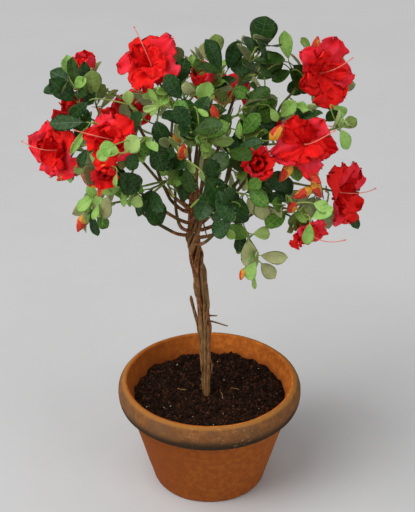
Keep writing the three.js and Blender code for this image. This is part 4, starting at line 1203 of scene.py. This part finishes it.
def petal(flower, angle, path, width, rng, ruffle=1.0, point=0.3, wrap=0.0, sheet=PETAL, pleat=0.6, roll=0.0):
    """One petal. path gives (distance out, along) at a few even shares, wrap bends it round the
    axis, point draws its end out, ruffle waves its edge, pleat creases it, roll tips it sideways."""
    s = np.linspace(0, 1, sheet.rows)[:, None]
    w = np.linspace(-1, 1, sheet.columns)[None]
    path = np.asarray(path, float)
    knots = np.linspace(0, 1, len(path))
    out, along = (np.interp(s.ravel(), knots, path[:, i])[:, None] for i in (0, 1))
    for values in (out, along):
        values[1:-1] = (values[:-2] + 2 * values[1:-1] + values[2:]) / 4
    phase = rng.random(8) * 2 * math.pi
    side, off = np.where(w < 0, 0.0, 1.0), np.abs(w)
    end = np.clip(1 - np.clip((s - 0.56) / 0.44, 0, 1) ** 2.6, 0, 1) ** 0.5
    half = width * (0.14 + 0.86 * smooth(0.0, 0.66, s)) * np.maximum(end, 0.06)
    scallops = 0.07 * np.sin(s * 17 + phase[0] + side * phase[6])
    scallops = scallops + 0.045 * np.sin(s * 38 + phase[4] + side * phase[2])
    half = half * (1 + ruffle * scallops * smooth(0.3, 0.6, s))
    # The end: drawn to a point, and cut by shallow ragged teeth.
    reach = np.gradient(out.ravel())[:, None]
    rise = np.gradient(along.ravel())[:, None]
    teeth = 0.5 * np.sin(w * 7 + phase[1]) + 0.45 * ruffle * np.sin(w * 15 + phase[2])
    drawn = (2.0 * point * (1 - off) ** 1.4 + teeth) * smooth(0.72, 1, s)
    x, z, y = out + reach * drawn, along + rise * drawn, half * w
    # Waves along the edges, pleats that open outwards and one crease down the middle.
    wave = 2.3 * np.sin(s * 13 + phase[2] + side * phase[7]) + 1.0 * np.sin(s * 27 + phase[5] * (1 + side))
    wave = wave * off ** 1.8 * smooth(0.22, 0.75, s)
    tip = (1 - 0.5 * off) * (1.7 * np.sin(w * 4.5 + phase[3]) + 0.8 * np.sin(w * 10 + phase[4]))
    tip = tip * smooth(0.7, 1, s)
    folds = smooth(0.1, 0.7, s) * (np.sin(w * 6 + phase[4]) + 0.6 * np.sin(w * 11 + s * 3 + phase[0]))
    crumple = 1.5 * noise(stacked(s * 4.5 + phase[4], w * 3.2, phase[5]), 3) * smooth(0.1, 0.5, s)
    crease = -0.9 * np.exp(-(w / 0.14) ** 2) * smooth(0.15, 0.35, s) * (1 - smooth(0.8, 1, s))
    lift = ruffle * (wave + tip) + pleat * (folds + crumple) + crease + roll * y * smooth(0.3, 0.9, s)
    slope = np.hypot(reach, rise) + 1e-6
    x, z = np.maximum(x - lift * rise / slope, 0.8), z + lift * reach / slope
    bound = wrap + (1 - wrap) * (1 - smooth(0.0, 0.35, s))
    radius = np.hypot(x, y) * (1 - bound) + x * bound
    theta = np.arctan2(y, np.maximum(x, 0.5)) * (1 - bound) + y / np.maximum(out, 2.5) * bound
    return sheet.close(about_flower(flower, radius, theta + math.radians(angle), z), -0.3)


def add_sepals(greens, flower, count, first, path, width, rng, point, wrap, slot):
    for n in range(count):
        sepal = petal(flower, 360 // count * n + first, path, width, rng, 0.05, point, wrap, SEPAL, 0.0)
        greens.add(sepal, SEPAL.faces, slot)


def add_bloom(heap, greens, pistils, flower, share, rng):
    """Five broad outer petals, a crumpled inner set, a calyx and one long pistil that bends out
    from the crown. share is the bloom's size beside the others."""
    base, faces = flower["base"], flower["faces"]
    grow = share * (0.98 + 0.06 * rng.random())
    cup = 5 * rng.random()
    for n in range(5):
        lean = 11 * (rng.random() - 0.5)
        size = grow * (0.88 + 0.2 * rng.random())
        path = [(1.5, -1), (4.5, 4), (9.5 * size, 9.5), (17.5 * size, 12.5 + cup * 0.3),
                (26 * size, 12.5 + cup * 0.7 + lean * 0.5), (33.5 * size, 8.5 + cup + lean)]
        slot = 0 if rng.random() < 0.6 else 1
        angle, width = 72 * n + 14 * (rng.random() - 0.5), (13.5 + 4 * rng.random()) * size
        point, roll = 0.9 * rng.random() ** 3, 0.7 * (rng.random() - 0.5)
        heap.add(petal(flower, angle, path, width, rng, 1.5, point, 0.0, PETAL, 1.2, roll), PETAL.faces, slot)
    for n in range(7):
        lean = math.radians(20 + 46 * rng.random())
        size = share * (20 + 10 * rng.random())
        out, along = size * math.sin(lean), size * math.cos(lean)
        path = [(1.2, 2)] + [(1.5 + out * u * (0.6 + 0.55 * u), 3 + along * u * (1.1 - 0.25 * u))
                             for u in (0.25, 0.5, 0.75, 1.0)]
        angle, width = 51.4 * n + 36 + 26 * (rng.random() - 0.5), 8 + 5 * rng.random()
        point, roll = 0.2 + 0.8 * rng.random(), 1.2 * (rng.random() - 0.5)
        inner = petal(flower, angle, path, width, rng, 1.3, point, 0.1, PETAL, 1.4, roll)
        heap.add(inner, PETAL.faces, 1 if rng.random() < 0.65 else 2)
    add_sepals(greens, flower, 5, 36, [(1.2, -2), (3.2, 0.5), (5.2, 3.0), (7.2, 4.6)], 2.6, rng, 0.3, 0.6, 0)
    out = square_to(faces, unit(base - HEART) + UP * 0.4 + 0.4 * (rng.random(3) - 0.5))
    curve = (base + faces * 1.5, base + faces * (26 + 6 * rng.random()),
             base + faces * (36 + 4 * rng.random()) + out * (22 + 6 * rng.random()))
    line = bezier(*curve, np.linspace(0, 1, 12))
    tube(pistils, line, np.maximum(0.5, 1.9 - 0.7 * np.arange(len(line))), 6)
    tube(pistils, [line[-1], line[-1] + unit(line[-1] - line[-2]) * 1.6], 0.9, 6)


def add_half(heap, greens, flower, share, rng):
    """A cup of petals that lap, wider open where it faces the front, with a rolled heart."""
    wide = max(0.0, -flower["faces"][1]) * share ** 2
    for n in range(6):
        inner = n % 2
        reach = 10.2 + 4.6 * wide - inner * 1.5
        path = share * np.array([(1, -2), (6, 2), (9.6 - inner, 8), (10.6 - inner, 14), (reach, 18.5),
                                 (reach + (4 * wide - 1.8) + 2.0 * rng.random(), 22.5 + 1.5 * rng.random())])
        outer = petal(flower, 60 * n + 6 * rng.random(), path, 10.5 + 1.5 * wide, rng, 0.35 + 0.5 * wide,
                      0.05, 0.8, PETAL, 0.4 + 0.5 * wide)
        heap.add(outer, PETAL.faces, (0, 1, 1)[n % 3])
    for n in range(4):
        end = (2.2 + 2 * rng.random(), 20 - 4 * wide)
        path = share * np.array([(1, 0), (4.5, 4), (6.0, 10), (5.0, 15), end])
        rolled = petal(flower, 90 * n + 30 * rng.random(), path, 8.0, rng, 0.5, 0.1, 0.8, PETAL, 0.6)
        heap.add(rolled, PETAL.faces, 1 if n % 2 else 2)
    add_sepals(greens, flower, 4, 20, [(1.2, -2.6), (4.6, 0.2), (7.6, 5), (9.3, 11)], 4.2, rng, 0.6, 0.9, 1)


def add_bud(heap, flower):
    """A closed bud: petals wound round it, some gold and some red, with a drawn-out end."""
    rows, columns = 15, 30
    h = np.linspace(0, 1, rows)[:, None]
    a = round_angles(columns)
    size = flower.get("size", 1.0)
    radius = 5 * size ** 0.8 * np.sin(math.pi * np.clip(h, 0.02, 0.955) ** 0.74) ** 0.62
    radius = radius * (1 + 0.09 * np.sin(a * 5 + h * 5.5) + 0.05 * np.sin(a * 2 + h * 9))
    points = about_flower(flower, radius, a, size * (-2.5 + 20.5 * h))
    faces = grid_faces(rows, columns, True)
    i, j = np.divmod(np.arange(len(faces)), columns)
    sector = np.floor((j / columns * 5 + (i / rows) * 5.5 / (2 * math.pi)) % 5).astype(int)
    gold = (np.isin(sector, (0, 3)) & (i < rows * 0.8)) | (i < 4 + (sector % 2))
    heap.add(points, [faces[~gold], faces[gold]], [0, 1])
    k = np.arange(columns)
    fan = stacked((k + 1) % columns, k, columns)
    for row, its_fan, slot in ((points[0], fan, 1), (points[-1], fan[:, ::-1], 0)):
        heap.add(np.concatenate([row, [row.mean(0)]]), its_fan, slot)


# ---- Making everything -------------------------------------------------------------------


def bark_relief(seed, depth):
    def relief(radius, far, angle):
        broad, ridge, fine = (noise(polar(across, angle, far * along), seed + n) for n, (across, along) in
                              enumerate(((1.1, 0.05), (3.2, 0.09), (7, 0.30))))
        return radius * (1.02 + 0.10 * broad) + depth * (0.5 * ridge + 0.35 * np.abs(fine))
    return relief


# Loose strips of bark wound round the trunk: start and end as shares of its height, first angle,
# turns, and how far they stand off.
STRANDS = [(0.02, 0.36, 200, -0.45, 3.4), (0.05, 0.55, 320, 0.55, 4.2), (0.18, 0.62, 60, -0.6, 4.6),
           (0.3, 0.8, 250, 0.7, 4.4), (0.42, 0.9, 150, -0.75, 4.2), (0.5, 0.96, 20, 0.8, 4.4),
           (0.55, 0.98, 280, -0.6, 4.2), (0.1, 0.5, 240, 0.25, 4.0), (0.35, 0.75, 300, -0.3, 3.4)]


STRAND_STEPS = 90


def strand_path(start, end, angle, turns, off):
    share = np.linspace(0, 1, STRAND_STEPS)
    t = start + (end - start) * share
    around = math.radians(angle) + 2 * math.pi * turns * share
    nearest = np.full(len(t), 2.0)
    for stem in MAINS:
        away = (stem_centre(stem, t) - trunk_axis(t))[:, :2]
        beside = away[:, 0] * -np.sin(around) + away[:, 1] * np.cos(around)
        ahead = away[:, 0] * np.cos(around) + away[:, 1] * np.sin(around)
        skin = ahead + np.sqrt(np.maximum(stem_radius(stem, t) ** 2 - beside ** 2, 0))
        nearest = np.maximum(nearest, np.where(np.abs(beside) < stem_radius(stem, t), skin, 2.0))
    nearest = np.convolve(np.pad(nearest, 6, "edge"), np.ones(13) / 13, "valid")
    bows = np.sin(math.pi * share * 3 + angle) ** 2 * (0.6 + 0.6 * noise(stacked(share * 5, angle, 0), 17))
    lift = off * bows * smooth(0, 0.12, share) * (1 - smooth(0.88, 1, share))
    reach = (nearest + 0.3 + lift) * (0.7 + 0.3 * smooth(0, 0.3, t))
    return trunk_axis(t) + polar(reach, around, 0)


# Each bark: its colour, a painted highlight for the fibre ridges, painted shade for the grooves between
# fibres, and a grey for patches.
BARK = [
    bark_finish("bark", (0.72, 0.44, 0.25), (0.96, 0.74, 0.48), (0.17, 0.08, 0.04), (0.66, 0.50, 0.32)),
    bark_finish("bark_vine", (0.70, 0.50, 0.30), (0.94, 0.78, 0.54), (0.24, 0.14, 0.07), (0.60, 0.52, 0.34)),
    bark_finish("bark_olive", (0.40, 0.33, 0.17), (0.52, 0.48, 0.26), (0.26, 0.19, 0.09), (0.38, 0.40, 0.20)),
]


def add_stem(heap, index, stem):
    vine = "flare" in stem
    ts = np.linspace(stem["start"], stem["end"], round(260 * (stem["end"] - stem["start"])))
    path = stem_centre(stem, ts)
    radii = stem_radius(stem, ts) * (1.0 if vine else 1.03)
    path = np.concatenate([path[0] - UP * np.array([7, 4.5, 2.2])[:, None], path])
    radii = np.concatenate([radii[:1].repeat(3), radii])
    # The bundle draws together where it enters the soil.
    rise = path[:, 2] - path[0, 2]
    radii *= 0.74 + 0.26 * smooth(0, 70, rise)
    middle = trunk_axis(np.clip((path[:, 2] - SOIL["level"]) / TRUNK_RISE, 0, 1))
    path[:, :2] = middle[:, :2] + (path - middle)[:, :2] * (0.66 + 0.34 * smooth(0, 80, rise))[:, None]
    radii[-5:] *= np.sqrt(np.linspace(1, 0.15 if vine else 0.5, 5))
    tube(heap, path, radii, 16 if vine else 26, int(vine), bark_relief(20 + 5 * index, 0.75))
    for t, way, length in stem["spurs"]:
        line = stem_centre(stem, t) + unit(way) * np.linspace(0, length, 14)[:, None]
        line = line + 0.5 * np.sin(np.linspace(0, 5, 14))[:, None] * UP
        tube(heap, line, np.linspace(1.15, 0.6, 14), 9, 1, bark_relief(70 + index, 0.25))


def make_trunk():
    heap = Heap()
    for index, stem in enumerate(STEMS):
        add_stem(heap, index, stem)
    for index, strand in enumerate(STRANDS):
        thick = 0.65 + (0.5 + 0.4 * (index % 3 == 0)) * np.sin(np.linspace(0, math.pi, STRAND_STEPS))
        tube(heap, strand_path(*strand), thick, 8, index % 2, bark_relief(60 + index, 0.3))
    heap.piece("trunk_bark", BARK[:2], "bark", [s["name"] for s in STEMS])


def make_boughs(boughs):
    """Each with bark near the fork, then green wood."""
    heap = Heap()
    sides = 12
    ts = np.linspace(0, 1, 34)
    for index, limb in enumerate(boughs):
        curve = bezier(*limb["curve"], ts)
        path = np.concatenate([[limb["root"], (limb["root"] + curve[0]) / 2], curve])
        radii = np.concatenate([[2.1, 2.2], bough_radii(ts)])
        step = np.arange(len(path))[:, None]
        wave = noise(path * 0.06 + index * 7.1, 5)[:, None] * np.array([0.5, 0.5, 0.4])
        wave *= np.minimum(1, step / 8) * np.minimum(1, step[::-1] / 5)
        part = Heap()
        tube(part, path + wave, radii, sides, 0, bark_relief(100 + index, 0.3))
        quads, caps = part.faces
        cut = sides * (12 + index % 7)
        heap.add(part.points[0], [quads[:cut], quads[cut:], caps[:sides], caps[sides:]], [0, 1, 0, 1])
    heap.piece("bough_bark", [BARK[0], BARK[2]], "bark", [l["name"] for l in boughs])


LEAF_FINISHES = dict(
    dark=[
        ((0.11, 0.26, 0.06), (0.06, 0.16, 0.03), (0.27, 0.39, 0.15)),
        ((0.09, 0.22, 0.08), (0.12, 0.27, 0.10), (0.29, 0.40, 0.21)),
        ((0.18, 0.30, 0.07), (0.10, 0.20, 0.03), (0.34, 0.43, 0.17)),
    ],
    middle=[
        ((0.29, 0.47, 0.12), (0.37, 0.55, 0.18), (0.52, 0.64, 0.30)),
        ((0.42, 0.50, 0.22), (0.32, 0.38, 0.14), (0.56, 0.60, 0.34)),
        ((0.22, 0.42, 0.10), (0.32, 0.52, 0.16), (0.48, 0.60, 0.28)),
    ],
    young=[
        ((0.52, 0.72, 0.32), (0.60, 0.78, 0.40), (0.72, 0.82, 0.50)),
        ((0.62, 0.74, 0.40), (0.54, 0.66, 0.32), (0.76, 0.80, 0.54)),
        ((0.46, 0.68, 0.26), (0.56, 0.74, 0.34), (0.68, 0.76, 0.44)),
    ],
)
UNDERSIDES = dict(
    dark=((0.53, 0.57, 0.38), (0.61, 0.63, 0.44), (0.44, 0.49, 0.31)),
    middle=((0.65, 0.67, 0.45), (0.73, 0.73, 0.51), (0.55, 0.59, 0.37)),
    young=((0.66, 0.73, 0.48), (0.74, 0.78, 0.54), (0.58, 0.66, 0.40)),
)
RIBS = dict(dark=(0.20, 0.34, 0.12), middle=(0.45, 0.57, 0.26), young=(0.64, 0.75, 0.39))


LEAF_GLOSS = dict(dark=(0.42, 0.2), middle=(0.48, 0.25), young=(0.55, 0.35))  # roughness and specular


def make_leaves(masses, placed):
    rng = np.random.default_rng(11)
    heaps = {(age, tone): Heap() for age in LEAVES for tone in range(3)}
    for leaf in [leaf for grown in masses for leaf in grown["leaves"] if not left_open(leaf)]:
        # Leaves that start close together share a tone, and a few stray from it.
        tone = int((np.abs(leaf["root"]).sum() * 0.021) % 3)
        if rng.random() < 0.25:
            tone = int(rng.random() * 3)
        heaps[leaf["age"], tone].add(leaf_blade(leaf, rng), LEAF_FACES, [0, 1, 2])
    for leaf in placed:
        heaps[leaf["age"], leaf["tone"]].add(leaf_blade(leaf, rng), LEAF_FACES, [0, 1, 2])
    for (age, tone), heap in heaps.items():
        colours, (roughness, gloss) = LEAF_FINISHES[age][tone], LEAF_GLOSS[age]
        foliage_piece(
            heap, f"leaves_{age}_{tone}",
            cloth_finish(f"leaf_{age}_{tone}", *colours, 120, roughness, specular=gloss),
            cloth_finish(f"rib_{age}_{tone}", RIBS[age], RIBS[age], colours[0], 200, roughness),
            cloth_finish(f"under_{age}_{tone}", *UNDERSIDES[age], 150, 0.7))


def add_twig(heap, grown, twig, leads):
    """One twig. The leading one starts at the bough's end and is as brown as that."""
    ts = np.linspace(0, 1, 14)
    path = bezier(*twig["curve"], ts)
    if leads:
        path, ts = np.concatenate([[grown["start"]], path]), np.concatenate([[0], ts])
    path = path + 0.35 * noise(path * 0.11, 7)[:, None] * np.minimum(1, 4 * ts * (1 - ts))[:, None]
    radii = TWIG["base"] * 0.9 + (TWIG["tip"] * 0.85 - TWIG["base"] * 0.9) * ts
    # A twig that would come out through the face of a bloom ends behind it.
    free = clear_of_blooms(path, grown)
    end = len(path) if free.all() else int(np.argmin(free))
    tube(heap, path[:end], (radii * (1 + 0.1 * np.sin(ts * 17)))[:end], 8, int(leads))


def make_twigs(masses, stalks):
    heap = Heap()
    for grown in masses:
        for index, twig in enumerate(grown["twigs"]):
            add_twig(heap, grown, twig, index == 0)
        for curve in grown["shoots"]:
            tube(heap, bezier(*curve, np.linspace(0, 1, 7)), np.linspace(0.85, 0.6, 7), 6)
    for curve in stalks:
        tube(heap, bezier(*curve, np.linspace(0, 1, 8)), np.linspace(0.85, 0.6, 8), 6)
    foliage_piece(
        heap, "twigs",
        cloth_finish("twig_green", (0.54, 0.62, 0.26), (0.44, 0.51, 0.19), (0.66, 0.72, 0.38), 60, 0.6),
        cloth_finish("twig_olive", (0.44, 0.47, 0.21), (0.36, 0.35, 0.14), (0.56, 0.60, 0.30), 60, 0.65))


# Name, three colours, and the grain, roughness, sheen, its tint and specular of each petal cloth.
PETAL_LOOKS = [
    ("petal_rose", ((0.94, 0.15, 0.20), (0.95, 0.26, 0.33), (0.90, 0.08, 0.11)),
     (60, 0.8, 0.1, (1, 0.5, 0.55), 0.15)),
    ("petal_scarlet", ((0.95, 0.11, 0.10), (0.88, 0.05, 0.05), (0.96, 0.22, 0.19)),
     (70, 0.8, 0.08, (1, 0.4, 0.4), 0.15)),
    ("petal_deep", ((0.78, 0.03, 0.04), (0.86, 0.06, 0.06), (0.64, 0.01, 0.02)), (70, 0.8, 0.0, None, 0.1)),
]


def make_flowers(masses, single_buds):
    rng = np.random.default_rng(23)
    blooms, cups, buds, greens, pistils = (Heap() for _ in range(5))
    for grown in masses:
        name, size = grown["name"], BLOOM_SIZES.get(grown["name"], 1.0)
        for flower in grown["flowers"]:
            if flower["kind"] == "bloom":
                flower = dict(flower, faces=BLOOM_TURNED.get(name, flower["faces"]))
                add_bloom(blooms, greens, pistils, flower, size, rng)
            elif flower["kind"] == "half":
                add_half(cups, greens, flower, size, rng)
            else:
                add_bud(buds, flower)
    for flower in single_buds:
        add_bud(buds, flower)
    petals = [cloth_finish(name, *colours, *rest) for name, colours, rest in PETAL_LOOKS]
    gold, ember, calyx = (cloth_finish(name, *colours, 160, 0.6) for name, *colours in (
        ("bud_gold", (0.90, 0.64, 0.16), (0.84, 0.46, 0.12), (0.92, 0.76, 0.30)),
        ("bud_red", (0.82, 0.17, 0.10), (0.70, 0.10, 0.06), (0.88, 0.42, 0.20)),
        ("calyx", (0.55, 0.60, 0.26), (0.62, 0.52, 0.20), (0.46, 0.52, 0.22))))
    pistil = cloth_finish("pistil", (0.93, 0.55, 0.46), (0.88, 0.40, 0.34), (0.96, 0.68, 0.58), 200, 0.5)
    foliage_piece(blooms, "bloom_petals", *petals)
    foliage_piece(cups, "half_open_petals", *petals)
    foliage_piece(buds, "buds", ember, gold)
    foliage_piece(greens, "calyces", calyx, gold)
    foliage_piece(pistils, "pistils", pistil)


make_pot()
make_soil_bed()
SOIL_RNG = np.random.default_rng(5)
make_soil_crumbs(SOIL_RNG)
make_soil_fibres(SOIL_RNG)
make_soil_specks(SOIL_RNG)
BOUGHS = bough_limbs()
LIMBS = stem_limbs() + BOUGHS
make_trunk()
make_boughs(BOUGHS)
GROWN = []
for number, mass_row in enumerate(MASSES):
    mass_grown = grow_mass(mass_row, 1000 + 37 * number, LIMBS)
    grow_finer(mass_grown, 5000 + 91 * number)
    GROWN.append(mass_grown)
PLACED_LEAVES, STALKS, SINGLE_BUDS = place_leaves(GROWN)
make_leaves(GROWN, PLACED_LEAVES)
make_twigs(GROWN, STALKS)
make_flowers(GROWN, SINGLE_BUDS)
